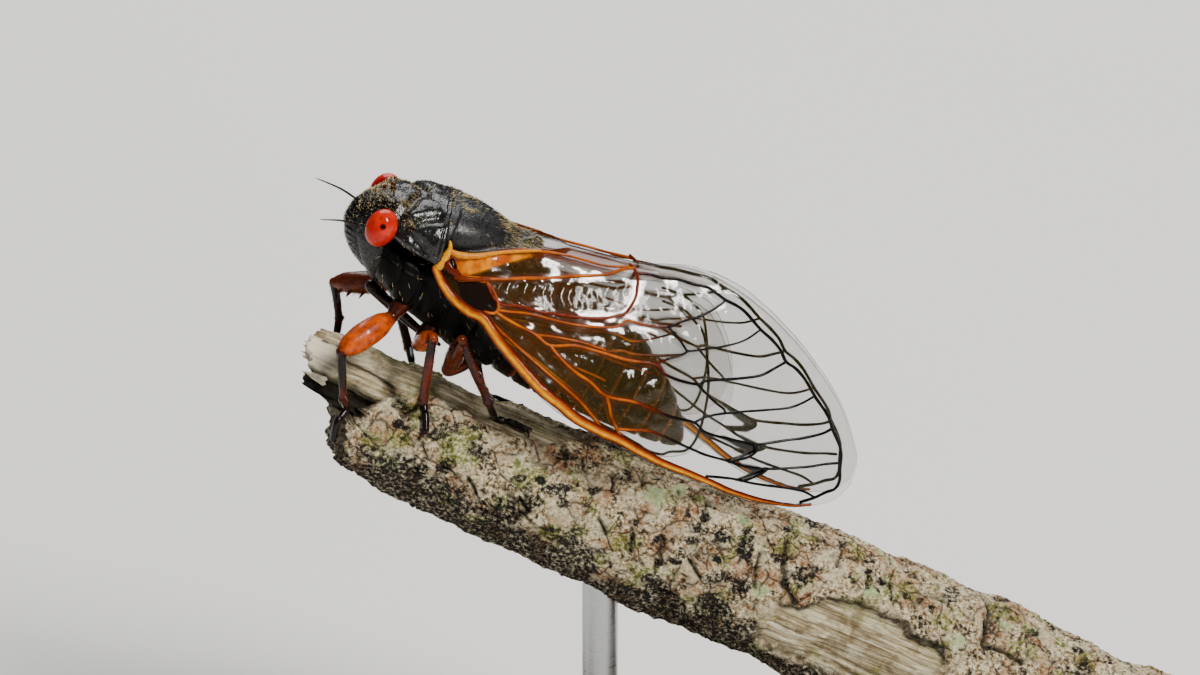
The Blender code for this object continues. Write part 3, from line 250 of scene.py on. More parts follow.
def curve(table, place):
    """Value of a smooth curve through (place, value) pairs."""
    if place <= table[0][0]:
        return table[0][1]
    if place >= table[-1][0]:
        return table[-1][1]
    index = max(i for i in range(len(table) - 1) if table[i][0] <= place)
    (x0, y0), (x1, y1) = table[index], table[index + 1]
    span = x1 - x0
    before = table[index - 1] if index > 0 else table[0]
    after = table[index + 2] if index + 2 < len(table) else table[-1]
    slope0 = (y1 - before[1]) / (x1 - before[0])
    slope1 = (after[1] - y0) / (after[0] - x0)
    t = (place - x0) / span
    rise = (2 * t ** 3 - 3 * t ** 2 + 1) * y0 + (3 * t ** 2 - 2 * t ** 3) * y1
    return rise + span * ((t ** 3 - 2 * t ** 2 + t) * slope0 + (t ** 3 - t ** 2) * slope1)


def straight(table, place):
    """Value of a line of straight pieces through (place, value) pairs."""
    return float(np.interp(place, [x for x, _ in table], [y for _, y in table]))


def power(value, exponent):
    """Power that keeps the sign."""
    return math.copysign(abs(value) ** exponent, value)


def smooth_path(corners, steps):
    """Points along a curve through the corners, with that many steps between two of them."""
    places = [Vector(corner) for corner in corners]
    route = []
    for index in range(len(places) - 1):
        p, q = places[index], places[index + 1]
        lead = (q - places[max(index - 1, 0)]) * 0.5
        trail = (places[min(index + 2, len(places) - 1)] - p) * 0.5
        for step in range(steps):
            t = step / steps
            route.append(p * (2 * t ** 3 - 3 * t ** 2 + 1) + lead * (t ** 3 - 2 * t ** 2 + t)
                         + q * (3 * t ** 2 - 2 * t ** 3) + trail * (t ** 3 - t ** 2))
    route.append(places[-1])
    return route


def grain(point, scale, octaves=3, seed=0.0):
    """Layered noise from about -1 to 1, its coarsest lumps 1 / scale millimetres wide."""
    place = Vector(point) * scale + Vector((seed, seed * 0.7, -seed))
    return noise.fractal(place, 0.9, 2.1, octaves)


# Frames

TO_WORLD = Matrix.Translation(INSECT_AT) @ Matrix.Rotation(PITCH, 4, "Y")
TO_INSECT = TO_WORLD.inverted()
MILLIMETRES = Matrix.Scale(MM, 4)
AHEAD = Vector((0.0, math.cos(LIFT), -math.sin(LIFT)))
UPWARD = Vector((0.0, math.sin(LIFT), math.cos(LIFT)))
EYEPOINT = AIM - AHEAD * REACH
FOCAL = PHOTO_WIDTH * LENS / SENSOR


def sight(px, py, inward=TO_INSECT):
    """Start and direction of the line of sight through a pixel of the photo, in the insect's frame."""
    across = Vector((px - PHOTO_WIDTH / 2, 0.0, 0.0)) / FOCAL
    ahead = AHEAD + across + UPWARD * (PHOTO_HEIGHT / 2 - py) / FOCAL
    return inward @ EYEPOINT, (inward.to_3x3() @ ahead).normalized()


# Making pieces

def wrap(columns, rows, place):
    """Closed skin: a grid that place(across, along) bends round, welded where its sides meet.

    Its corners remember their across and along.
    """
    work = bmesh.new()
    across = work.verts.layers.float.new("across")
    along = work.verts.layers.float.new("along")
    bmesh.ops.create_grid(work, x_segments=columns, y_segments=rows, size=0.5)
    for vert in work.verts:
        vert[across] = vert.co.x + 0.5
        vert[along] = vert.co.y + 0.5
        vert.co = place(vert[across], vert[along])
    bmesh.ops.remove_doubles(work, verts=work.verts, dist=1e-4)
    bmesh.ops.recalc_face_normals(work, faces=work.faces)
    work.normal_update()
    return work


def emboss(work, relief):
    """Moves each corner along its normal by relief(place, normal)."""
    work.normal_update()
    moves = [vert.normal * relief(vert.co, vert.normal) for vert in work.verts]
    for vert, move in zip(work.verts, moves):
        vert.co += move
    work.normal_update()


def tone(work, name, value):
    """Stores value(place) on each corner, for a material to read."""
    layer = work.verts.layers.float.get(name) or work.verts.layers.float.new(name)
    for vert in work.verts:
        vert[layer] = value(vert.co)


def put(name, mesh, material, slot, replaced=()):
    """Piece of a finished mesh, riding on the one body of the model."""
    mesh.materials.append(material)
    made = bpy.data.objects.new(name, mesh)
    bpy.context.collection.objects.link(made)
    mesh.shade_smooth()
    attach(made, "root")
    if replaced:
        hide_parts(*replaced)


def settle(name, work, material, slot, replaced=(), place=TO_WORLD, sharp=None):
    """Piece of a finished bmesh, moved to its place, with edges sharper than an angle kept crisp."""
    mesh = bpy.data.meshes.new(name)
    work.to_mesh(mesh)
    work.free()
    mesh.transform(MILLIMETRES @ place)
    put(name, mesh, material, slot, replaced)
    if sharp is not None:
        mesh.set_sharp_from_angle(angle=math.radians(sharp))


def tube(route, radii, sides, roundness=3, flat=1.0, up=None):
    """Round limb along a route, with domed ends; flat squashes it across the up direction."""
    frames = []
    across = None
    for index, spot in enumerate(route):
        ahead = (route[min(index + 1, len(route) - 1)] - route[max(index - 1, 0)]).normalized()
        if up is not None:
            across = up(spot)
        elif across is None:
            across = ahead.cross(Vector((0.3, 0.2, 1.0)))
        across = (across - ahead * across.dot(ahead)).normalized()
        frames.append((spot, ahead, across, ahead.cross(across), radii[index]))
    rings = []
    for step in range(roundness):
        turn = 0.5 * math.pi * step / roundness
        spot, ahead, one, other, radius = frames[0]
        rings.append((spot - ahead * radius * math.cos(turn), one, other, radius * math.sin(turn)))
    rings += [(spot, one, other, radius) for spot, _, one, other, radius in frames]
    for step in range(roundness - 1, -1, -1):
        turn = 0.5 * math.pi * step / roundness
        spot, ahead, one, other, radius = frames[-1]
        rings.append((spot + ahead * radius * math.cos(turn), one, other, radius * math.sin(turn)))

    def place(share, along):
        spot, one, other, radius = rings[round(along * (len(rings) - 1))]
        turn = 2 * math.pi * share
        return spot + (one * math.cos(turn) * flat + other * math.sin(turn)) * radius

    return wrap(sides, len(rings) - 1, place)


def merge(parts):
    """One bmesh of several."""
    whole = bmesh.new()
    for part in parts:
        mesh = bpy.data.meshes.new("part")
        part.to_mesh(mesh)
        part.free()
        whole.from_mesh(mesh)
        bpy.data.meshes.remove(mesh)
    return whole


def spread(values, count):
    """That many values evenly along a smooth curve through the given ones."""
    table = [(index / (len(values) - 1), value) for index, value in enumerate(values)]
    return [curve(table, index / (count - 1)) for index in range(count)]


# Materials

# What each corner of the stick says: where it is bare, overgrown, mouldy, cracked, sawn or freshly torn; the
# mould and crack covers also hold painted shade
BARK_WORDS = ("bare", "lichen", "crust", "mould_and_shade", "cracks_and_shade", "cut", "girth", "fresh")


def paint(code):
    """Linear colour of an sRGB hex code."""
    parts = [int(code[i:i + 2], 16) / 255.0 for i in (0, 2, 4)]
    return tuple(p / 12.92 if p <= 0.04045 else ((p + 0.055) / 1.055) ** 2.4 for p in parts) + (1.0,)


def add(tree, kind, feeds=None, stops=None, output=0, **settings):
    """One shader node, with its properties, its sockets' values or links, and a ramp's colours."""
    made = tree.nodes.new("ShaderNode" + kind)
    for key, value in settings.items():
        setattr(made, key, value)
    for key, value in (feeds or {}).items():
        if isinstance(value, bpy.types.NodeSocket):
            tree.links.new(value, made.inputs[key])
        else:
            made.inputs[key].default_value = value
    if stops:
        ramp = made.color_ramp.elements
        while len(ramp) < len(stops):
            ramp.new(1.0)
        for element, (spot, code) in zip(ramp, stops):
            element.position = spot
            element.color = paint(code)
    return made.outputs[output] if made.outputs else None


def blank(name):
    """New material, its empty tree, and the place on the piece that its patterns read."""
    material = bpy.data.materials.new(name)
    material.use_nodes = True
    tree = material.node_tree
    tree.nodes.clear()
    return material, tree, add(tree, "TexCoord", output=3)


def coat_with(tree, feeds):
    """Ends a material with its shader."""
    add(tree, "OutputMaterial", {"Surface": add(tree, "BsdfPrincipled", feeds)})


def black_cuticle(name, deep, light, dull, shine, gloss):
    """Sclerotised, waxed chitin: near black, its gloss broken by fine pits and the stubble of short hairs."""
    material, tree, where = blank(name)
    cloud = add(tree, "TexNoise", {"Vector": where, "Scale": 1.0 / MM, "Detail": 3.0})
    pits = add(tree, "TexNoise", {"Vector": where, "Scale": 7.0 / MM, "Detail": 3.0, "Roughness": 0.6})
    share = add(tree, "MapRange", {0: cloud, 1: 0.35, 2: 0.75})
    rough = add(tree, "MapRange", {0: pits, 1: 0.35, 2: 0.65, 3: shine, 4: dull})
    shell = add(tree, "Mix", {0: share, 6: paint(deep), 7: paint(light)}, output=2, data_type="RGBA")
    ring = add(tree, "Attribute", output=2, attribute_name="ring")
    coat_with(tree, {
        "Base Color": add(tree, "Mix", {0: ring, 6: shell, 7: paint("6e3208")}, output=2, data_type="RGBA"),
        "Roughness": rough,
        "IOR": 1.56,
        "Specular IOR Level": gloss,
        "Normal": add(tree, "Bump", {"Strength": 0.6, "Distance": 0.03 * MM, "Height": pits}),
    })
    return material


def eye_cornea():
    """Compound eye: red-orange under a smooth clear cornea, with one dark spot and faint darker flecks."""
    material, tree, where = blank("eye_cornea")
    cloud = add(tree, "TexNoise", {"Vector": where, "Scale": 1.0 / MM, "Detail": 2.0})
    share = add(tree, "MapRange", {0: cloud, 1: 0.3, 2: 0.7})
    dome = add(tree, "Mix", {0: share, 6: paint("ac0a00"), 7: paint("cc2600")}, output=2, data_type="RGBA")
    for word, code in (("rim", "6c0400"), ("fleck", "640200"), ("pupil", "0c0202")):
        cover = add(tree, "Attribute", output=2, attribute_name=word)
        dome = add(tree, "Mix", {0: cover, 6: dome, 7: paint(code)}, output=2, data_type="RGBA")
    # Facets are about 0.03 mm in life, and drawn 0.06 mm so that they show at all
    facets = add(tree, "TexVoronoi", {"Vector": where, "Scale": 16.0 / MM})
    coat_with(tree, {
        "Base Color": dome,
        "Roughness": 0.32,
        "Specular IOR Level": 0.05,
        "Coat Weight": 0.45,
        "Coat Roughness": 0.02,
        "Normal": add(tree, "Bump", {"Strength": 0.2, "Distance": 0.008 * MM, "Height": facets}),
    })
    return material


def limb_cuticle(name, bright, deep, black):
    """Hardened leg chitin, waxed and glossy: orange to red-brown, darkened by the piece's own dusk, which on
    some legs is also painted shade.
    """
    material, tree, where = blank(name)
    streak = add(tree, "TexNoise", {"Vector": where, "Scale": 1.8 / MM, "Detail": 4.0})
    pits = add(tree, "TexNoise", {"Vector": where, "Scale": 7.0 / MM, "Detail": 2.0})
    share = add(tree, "MapRange", {0: streak, 1: 0.35, 2: 0.68})
    warm = add(tree, "Mix", {0: share, 6: paint(bright), 7: paint(deep)}, output=2, data_type="RGBA")
    dusk = add(tree, "Attribute", output=2, attribute_name="dusk")
    coat_with(tree, {
        "Base Color": add(tree, "Mix", {0: dusk, 6: warm, 7: paint(black)}, output=2, data_type="RGBA"),
        "Roughness": add(tree, "MapRange", {0: streak, 1: 0.3, 2: 0.7, 3: 0.2, 4: 0.36}),
        "IOR": 1.55,
        "Specular IOR Level": 0.14,
        "Coat Weight": 0.22,
        "Coat Roughness": 0.1,
        "Normal": add(tree, "Bump", {"Strength": 0.5, "Distance": 0.025 * MM, "Height": pits}),
    })
    return material


def wing_vein():
    """Wing vein, a glossy hollow rib: orange by the body, red-brown further out and black beyond."""
    material, tree, where = blank("wing_vein")
    dusk = add(tree, "Attribute", output=2, attribute_name="dusk")
    ramp = add(tree, "ValToRGB", {0: dusk}, stops=[
        (0.0, "f0ac00"), (0.2, "b85c00"), (0.42, "661c00"), (0.75, "120401"), (1.0, "020202")])
    beads = add(tree, "TexNoise", {"Vector": where, "Scale": 2.6 / MM, "Detail": 2.0})
    share = add(tree, "MapRange", {0: beads, 1: 0.4, 2: 0.7, 3: 0.0, 4: 0.5})
    coat_with(tree, {
        "Base Color": add(tree, "Mix", {0: share, 6: ramp, 7: paint("c07828")}, output=2, data_type="RGBA",
                          blend_type="MULTIPLY"),
        "Roughness": 0.24,
        "IOR": 1.55,
        "Specular IOR Level": 0.1,
        "Coat Weight": 0.05,
        "Coat Roughness": 0.06,
        "Normal": add(tree, "Bump", {"Strength": 0.8, "Distance": 0.06 * MM, "Height": beads}),
    })
    return material


def wing_film():
    """Wing membrane, a clear film of chitin: amber by the body, smoky in a few cells, wet on creases."""
    material, tree, where = blank("wing_film")
    amber, smoke, solid = (add(tree, "Attribute", output=2, attribute_name=word)
                           for word in ("amber", "smoke", "solid"))
    film = add(tree, "ValToRGB", {0: amber}, stops=[(0.0, "463808"), (0.4, "582c00"), (1.0, "5a2200")])
    film = add(tree, "Mix", {0: smoke, 6: film, 7: paint("080405")}, output=2, data_type="RGBA")
    tint = add(tree, "MapRange", {0: amber, 1: 0.0, 2: 1.0, 3: 0.11, 4: 0.8})
    cover = add(tree, "Math", {0: tint, 1: smoke}, operation="MAXIMUM")
    cover = add(tree, "Math", {0: cover, 1: solid}, operation="MAXIMUM")
    crease = add(tree, "TexNoise", {"Vector": where, "Scale": 1.3 / MM, "Detail": 1.0})
    wedge = add(tree, "ValToRGB", {0: crease}, stops=[(0.35, "a84600"), (0.6, "dc8600")])
    film = add(tree, "Mix", {0: solid, 6: film, 7: wedge}, output=2, data_type="RGBA")
    coat_with(tree, {
        "Base Color": film,
        "Alpha": cover,
        "Roughness": 0.09,
        "Specular IOR Level": 0.25,
        # The cover thins the gloss too, so the clear parts have a full coat
        "Coat Weight": add(tree, "MapRange", {0: cover, 1: 0.5, 2: 0.95, 3: 1.0, 4: 0.15}),
        "Coat IOR": 1.65,
        "Coat Roughness": 0.1,
        "Normal": add(tree, "Bump", {"Strength": 0.25, "Distance": 0.04 * MM, "Height": crease}),
    })
    return material


def weathered_stick():
    """Dead twig: dry flaking bark with green and grey lichen and black mould, and bare silvery wood, with
    painted shade on its underside and in its hollows.
    """
    material, tree, where = blank("weathered_stick")
    bare, lichen, crust, mould_and_shade, cracks_and_shade, cut, girth, fresh = (
        add(tree, "Attribute", output=2, attribute_name=word) for word in BARK_WORDS)
    along = add(tree, "Mapping", {"Vector": where, "Rotation": (0.0, -STICK_SLOPE, 0.0)})
    fine = add(tree, "TexNoise", {"Vector": where, "Scale": 3.2 / MM, "Detail": 6.0, "Roughness": 0.72})
    coarse = add(tree, "TexNoise", {"Vector": where, "Scale": 0.5 / MM, "Detail": 4.0})
    warp = add(tree, "TexNoise", {"Vector": where, "Scale": 0.9 / MM, "Detail": 3.0}, output=1)
    bent = add(tree, "Mix", {0: 0.0009, 4: where, 5: warp}, output=1, data_type="VECTOR")
    mottle = add(tree, "TexNoise", {"Vector": bent, "Scale": 0.7 / MM, "Detail": 3.0, "Roughness": 0.6})
    # Seams between bark flakes about 2 mm across, and thinner ones between scales of 0.7 mm
    patchy = add(tree, "MapRange", {0: coarse, 1: 0.38, 2: 0.56})
    seam = 0.0
    for scale, width, strength in ((0.5, 0.07, 0.9), (1.5, 0.12, 0.3)):
        gaps = add(tree, "TexVoronoi", {"Vector": bent, "Scale": scale / MM}, feature="DISTANCE_TO_EDGE")
        gaps = add(tree, "MapRange", {0: gaps, 1: 0.0, 2: width, 3: strength, 4: 0.0})
        gaps = add(tree, "Math", {0: gaps, 1: patchy}, operation="MULTIPLY")
        seam = add(tree, "Math", {0: gaps, 1: seam}, operation="MAXIMUM")
    rosy = add(tree, "MapRange", {0: coarse, 1: 0.48, 2: 0.62, 3: 0.0, 4: 0.6})
    pale = add(tree, "MapRange", {0: mottle, 1: 0.5, 2: 0.58, 3: 0.0, 4: 0.45})
    grime = add(tree, "MapRange", {0: mottle, 1: 0.44, 2: 0.38, 3: 0.0, 4: 0.8})
    low = add(tree, "MapRange", {0: fine, 1: 0.56, 2: 0.48})
    grime = add(tree, "Math", {0: grime, 1: low}, operation="MULTIPLY")
    moss = add(tree, "ValToRGB", {0: fine}, stops=[(0.3, "2a2e0c"), (0.45, "6e762a"), (0.6, "bcc274")])
    broken = add(tree, "MapRange", {0: fine, 1: 0.62, 2: 0.46, 3: 0.45, 4: 1.0})
    lichen, crust, mould_and_shade = (add(tree, "Math", {0: cover, 1: broken}, operation="MULTIPLY")
                           for cover in (lichen, crust, mould_and_shade))
    # Black fruiting spots, up to 0.4 mm across, in flocks
    spots = add(tree, "TexVoronoi", {"Vector": bent, "Scale": 1.2 / MM})
    spots = add(tree, "MapRange", {0: spots, 1: 0.13, 2: 0.24, 3: 0.9, 4: 0.0})
    flock = add(tree, "MapRange", {0: mottle, 1: 0.5, 2: 0.42})
    spots = add(tree, "Math", {0: spots, 1: flock}, operation="MULTIPLY")
    # The mould cover also carries painted shade on the stick's underside.
    mould_and_shade = add(tree, "MapRange", {0: mould_and_shade, 1: 0.25, 2: 0.85, 3: 0.0, 4: 0.98})
    mould_and_shade = add(tree, "Math", {0: mould_and_shade, 1: spots}, operation="MAXIMUM")
    bark = add(tree, "ValToRGB", {0: fine}, stops=[
        (0.36, "1e1610"), (0.43, "8c7454"), (0.5, "ccb48a"), (0.59, "fff3d4")])
    thread = add(tree, "Mapping", {"Vector": along, "Scale": (0.14, 3.4, 3.4)})
    fibres = add(tree, "TexNoise", {"Vector": thread, "Scale": 1.0 / MM, "Detail": 6.0, "Roughness": 0.68})
    wood = add(tree, "ValToRGB", {0: fibres}, stops=[
        (0.3, "54462f"), (0.43, "9e8e6e"), (0.53, "cabd9a"), (0.68, "f6eed6")])
    stain = add(tree, "MapRange", {0: mottle, 1: 0.48, 2: 0.62, 3: 0.0, 4: 0.65})
    green = add(tree, "Math", {0: lichen, 1: 0.6}, operation="MULTIPLY")
    # Year rings about 0.7 mm apart
    turns = add(tree, "Math", {0: fine, 1: 2.0}, operation="MULTIPLY")
    turns = add(tree, "Math", {0: girth, 1: 9.0, 2: turns}, operation="MULTIPLY_ADD")
    wave = add(tree, "Math", {0: turns}, operation="SINE")
    ring = add(tree, "MapRange", {0: wave, 1: -0.6, 2: 1.0})
    sawn = add(tree, "Mix", {0: ring, 6: paint("a98a5c"), 7: paint("7d5a34")}, output=2, data_type="RGBA")
    for cover, over in ((stain, paint("6a5034")), (green, moss), (fresh, paint("fff4dc"))):
        wood = add(tree, "Mix", {0: cover, 6: wood, 7: over}, output=2, data_type="RGBA")
    skin = bark
    # The cracks cover darkens real cracks and also paints shade in the hollow end and under the scar's edge.
    for cover, over in ((rosy, paint("b4784c")), (pale, paint("ece2c0")), (grime, paint("221a18")),
                        (lichen, moss), (crust, paint("c6dc9e")), (mould_and_shade, paint("131014")),
                        (seam, paint("15100c")), (bare, wood), (cut, sawn), (cracks_and_shade, paint("0c0806"))):
        skin = add(tree, "Mix", {0: cover, 6: skin, 7: over}, output=2, data_type="RGBA")
    deep = add(tree, "Math", {0: 1.0, 1: seam}, operation="SUBTRACT")
    rise = add(tree, "Math", {0: fine, 1: deep, 2: mottle}, operation="MULTIPLY_ADD")
    relief = add(tree, "Mix", {0: bare, 2: rise, 3: fibres}, data_type="FLOAT")
    coat_with(tree, {
        "Base Color": skin,
        "Roughness": 0.9,
        "Specular IOR Level": 0.25,
        "Normal": add(tree, "Bump", {"Strength": 1.0, "Distance": 0.45 * MM, "Height": relief}),
    })
    return material


def oiled_walnut():
    """Walnut board, sanded and oiled: dark brown with long open grain and a satin face."""
    material, tree, where = blank("oiled_walnut")
    long = add(tree, "Mapping", {"Vector": where, "Scale": (0.1, 1.6, 1.6)})
    lines = add(tree, "TexNoise", {"Vector": long, "Scale": 0.5 / MM, "Detail": 6.0, "Roughness": 0.65})
    color = add(tree, "ValToRGB", {0: lines}, stops=[(0.32, "1d110a"), (0.5, "3f2616"), (0.68, "65432b")])
    coat_with(tree, {
        "Base Color": color,
        "Roughness": add(tree, "MapRange", {0: lines, 1: 0.3, 2: 0.7, 3: 0.5, 4: 0.36}),
        "Normal": add(tree, "Bump", {"Strength": 0.4, "Distance": 0.06 * MM, "Height": lines}),
    })
    return material


def brushed_steel():
    """Stainless rod, turned and brushed: bright metal with fine rings round it."""
    material, tree, where = blank("brushed_steel")
    rings = add(tree, "Mapping", {"Vector": where, "Scale": (0.3, 0.3, 10.0)})
    lines = add(tree, "TexNoise", {"Vector": rings, "Scale": 1.0 / MM, "Detail": 3.0})
    coat_with(tree, {
        "Base Color": add(tree, "Mix", {0: lines, 6: paint("a4a6a8"), 7: paint("cacccd")}, output=2,
                          data_type="RGBA"),
        "Metallic": 1.0,
        "Roughness": add(tree, "MapRange", {0: lines, 1: 0.3, 2: 0.7, 3: 0.24, 4: 0.42}),
        "Normal": add(tree, "Bump", {"Strength": 0.3, "Distance": 0.02 * MM, "Height": lines}),
    })
    return material


def insect_hair(name, dark, pale, rough, gloss):
    """Fine chitin hair: silky, each one a little lighter or darker than the next."""
    material, tree, where = blank(name)
    cloud = add(tree, "TexNoise", {"Vector": where, "Scale": 3.0 / MM, "Detail": 2.0})
    share = add(tree, "MapRange", {0: cloud, 1: 0.35, 2: 0.65})
    color = add(tree, "Mix", {0: share, 6: paint(dark), 7: paint(pale)}, output=2, data_type="RGBA")
    coat_with(tree, {
        "Base Color": color,
        "Roughness": rough,
        "Specular IOR Level": gloss,
    })
    return material


def pale_paper():
    """Matt studio paper, off-white."""
    material, tree, where = blank("pale_paper")
    cloud = add(tree, "TexNoise", {"Vector": where, "Scale": 0.01 / MM, "Detail": 2.0})
    coat_with(tree, {
        "Base Color": add(tree, "Mix", {0: cloud, 6: paint("e6e5e1"), 7: paint("ebeae7")}, output=2,
                          data_type="RGBA"),
        "Roughness": 0.9,
    })
    return material


BLACK = black_cuticle("black_cuticle", "020203", "060608", 0.32, 0.1, 0.34)
# The collar and the shield get lighter base colours than the head, as painted sheen.
COLLAR = black_cuticle("collar_cuticle", "060607", "141416", 0.34, 0.14, 0.5)
SHIELD = black_cuticle("shield_cuticle", "08080a", "1e1e22", 0.5, 0.34, 0.5)
FLANK = black_cuticle("flank_cuticle", "010101", "040302", 0.5, 0.3, 0.08)
BELLY = black_cuticle("belly_cuticle", "080301", "160a04", 0.42, 0.22, 0.12)
EYE = eye_cornea()
ORANGE = limb_cuticle("orange_limb", "c85200", "8a2c04", "100302")
DARK = limb_cuticle("dark_limb", "701e00", "380d00", "020100")
VEIN = wing_vein()
FILM = wing_film()
TWIG = weathered_stick()
WALNUT = oiled_walnut()
STEEL = brushed_steel()
GOLD = insect_hair("gold_down", "e4b860", "fff8c8", 0.3, 0.6)
BRISTLE = insect_hair("dark_bristle", "060302", "1e1008", 0.4, 0.1)
PAPER = pale_paper()


# Stick

def bare_wood(station, angle):
    """How bare the stick is, 1 where the bark is off: on top of the broken end and in one long scar below."""
    half = curve(BARE_TOP_HALF, station)
    top = ease((half - abs(angle - BARE_TOP_ANGLE)) / 4.0 + 0.5) if station < BARE_END else 0.0
    scar_start, scar_end = SCAR_ENDS
    scar_half = SCAR_HALF * ease((station - scar_start) / 4.0) * ease((scar_end - station) / 4.0)
    scar = ease((scar_half - abs(angle - SCAR_ANGLE)) / 4.0 + 0.4) if scar_half > 0.5 else 0.0
    return max(top, SCAR_DEPTH * scar)


def stick_radius(station, angle, bare=0.0):
    """Radius of the stick; the angle is 0 towards the insect's left and 90 up."""
    turn = math.radians(angle)
    relief = 0.14 * math.sin(3 * turn + 0.35 * station + 0.6)
    relief += 0.10 * math.sin(5 * turn - 0.55 * station)
    relief += 0.10 * math.sin(2 * turn + 0.9 * station + 2.0)
    return curve(STICK_GIRTH, station) + relief - BARK_THICKNESS * bare


def stick_place(station, angle, radius):
    """World place at a station, an angle and a distance from the stick's middle line."""
    turn = math.radians(angle)
    up = radius * math.sin(turn) - curve(STICK_SAG, station)
    x = STICK_AT[0] + station * math.cos(STICK_SLOPE) + up * math.sin(STICK_SLOPE)
    z = STICK_AT[1] - station * math.sin(STICK_SLOPE) + up * math.cos(STICK_SLOPE)
    return Vector((x, -radius * math.cos(turn), z))


def stick_point(station, angle, lift=0.0, bare=None):
    """World place on the stick's skin, or that far above it."""
    bare = bare_wood(station, angle) if bare is None else bare
    return stick_place(station, angle, stick_radius(max(station, 0.0), angle, bare) + lift)


def stick_underside(x, y):
    """Height of the stick's lower side above a place on the base."""
    radius = 5.0
    station = x - STICK_AT[0]
    up = 0.0
    for _ in range(16):
        drop = -math.sqrt(max(radius ** 2 - y ** 2, 0.01))
        up = drop - curve(STICK_SAG, station)
        station = (x - STICK_AT[0] - up * math.sin(STICK_SLOPE)) / math.cos(STICK_SLOPE)
        radius = stick_radius(station, math.degrees(math.atan2(drop, -y)))
    return STICK_AT[1] - station * math.sin(STICK_SLOPE) + up * math.cos(STICK_SLOPE)


def jag(angle):
    """How far the broken end stands back at an angle."""
    around = Vector((math.cos(math.radians(angle)), math.sin(math.radians(angle)), 0.0))
    return 0.5 + 0.6 * noise.noise(around * 4.0) + 0.55 * noise.noise(around * 13.0)


STICK_COLUMNS = 256
STICK_ROWS = 384
END_ROWS = 14
CUT_ROWS = 6
END_DEPTH = 3.6
LUMPS = (0.16, 0.2, 0.08)
CRACK_DEPTH = 0.4
PIT_DEPTH = 0.2
FIBRE_HEIGHT = 0.2
HOLLOW_DEPTH = 1.3
LIP_HEIGHT = 0.2
SPLINTERS = 22

# What the bark shows, read off the photo in its pixels
BARK_EDGE = [(345, 424), (357, 415), (377, 404), (388, 393), (428, 391), (458, 407), (488, 424), (520, 437),
             (547, 442)]
PLANK_EDGE = [(306, 366), (322, 374), (340, 382), (358, 392), (370, 401)]
SCAR_EDGE = [(783, 603), (802, 609), (828, 597), (858, 600), (876, 609), (906, 625), (909, 636), (939, 648),
             (945, 664)]
BARK_CRACKS = [
    [(919, 600), (921, 628)], [(891, 584), (892, 600)], [(869, 572), (868, 588)],
    [(709, 489), (707, 505), (704, 520)], [(761, 553), (756, 570), (755, 588)], [(748, 527), (741, 545)],
    [(679, 490), (674, 512)], [(662, 536), (660, 556)], [(633, 535), (631, 553)], [(614, 474), (613, 490)],
    [(582, 458), (584, 468)], [(644, 470), (643, 484)], [(520, 500), (530, 512)], [(600, 520), (606, 535)],
    [(690, 560), (700, 578)], [(470, 480), (476, 496)], [(843, 548), (838, 566)], [(955, 585), (948, 606)],
    [(314, 329), (326, 336), (340, 341), (354, 345)], [(350, 358), (372, 368), (396, 384)],
]
WIDE_CRACKS = [
    [(983, 596), (990, 612), (985, 632), (983, 645), (1002, 650), (1022, 662)],
    [(787, 542), (784, 565), (786, 585), (795, 603)],
    [(802, 610), (833, 601), (862, 607), (907, 624), (912, 636), (943, 648), (944, 664)],
]
# Each patch: its middle in pixels, and its half width and half height in pixels
MOSS_PATCHES = [(418, 412, 12, 14), (448, 456, 9, 14), (500, 502, 12, 9), (476, 520, 16, 8),
                (552, 533, 15, 12), (626, 544, 16, 10), (448, 500, 9, 7), (400, 440, 14, 10),
                (368, 440, 10, 9), (577, 531, 10, 8),
                (644, 592, 7, 6), (689, 600, 9, 7), (856, 548, 7, 6), (1061, 642, 9, 8), (935, 588, 6, 5),
                (720, 560, 10, 8), (1080, 630, 8, 6), (600, 560, 12, 8), (700, 500, 9, 6)]
MINT_PATCHES = [(655, 496, 15, 10), (885, 557, 12, 7), (1035, 631, 9, 10), (680, 491, 9, 8), (742, 520, 8, 6),
                (390, 465, 10, 8), (958, 640, 8, 7), (870, 590, 9, 7), (1005, 625, 8, 8), (760, 590, 8, 7)]
SOOT_PATCHES = [(480, 451, 9, 7), (558, 490, 19, 10), (540, 480, 6, 5), (444, 467, 7, 7), (563, 504, 8, 6),
                (657, 539, 6, 6), (690, 541, 10, 6), (722, 537, 12, 8), (746, 550, 10, 14), (716, 559, 7, 6),
                (659, 563, 6, 5), (652, 579, 14, 8), (705, 517, 7, 8), (715, 605, 22, 18), (594, 489, 8, 7),
                (802, 581, 10, 6), (843, 544, 7, 5), (869, 572, 6, 5), (880, 581, 6, 6), (906, 596, 6, 6),
                (1076, 650, 7, 5), (740, 585, 14, 10), (420, 470, 8, 9), (400, 425, 9, 6), (612, 590, 16, 9),
                (780, 560, 7, 6), (932, 609, 5, 5), (520, 478, 8, 4), (500, 540, 20, 9), (675, 562, 8, 6)]


def stick_grid(share, along):
    """Where a corner of the skin's grid lies: station, angle, size of its ring, and share into either end."""
    angle = -90.0 + 360.0 * share
    row = round(along * STICK_ROWS)
    start = curve(BREAK_LINE, angle) + jag(angle)
    body_rows = STICK_ROWS - END_ROWS - CUT_ROWS
    inner = max(END_ROWS - row, 0) / END_ROWS
    outer = max(row - END_ROWS - body_rows, 0) / CUT_ROWS
    station = start + min(max(row - END_ROWS, 0) / body_rows, 1.0) * (STICK_LENGTH - start)
    size = 1.0
    if inner:
        station = start + END_DEPTH * ease(inner) ** 0.8
        size = 1.0 - inner ** 0.7
    if outer:
        size = 1.0 - outer ** 1.2 if outer > 0.2 else 0.97
    return station, angle, size, inner, outer


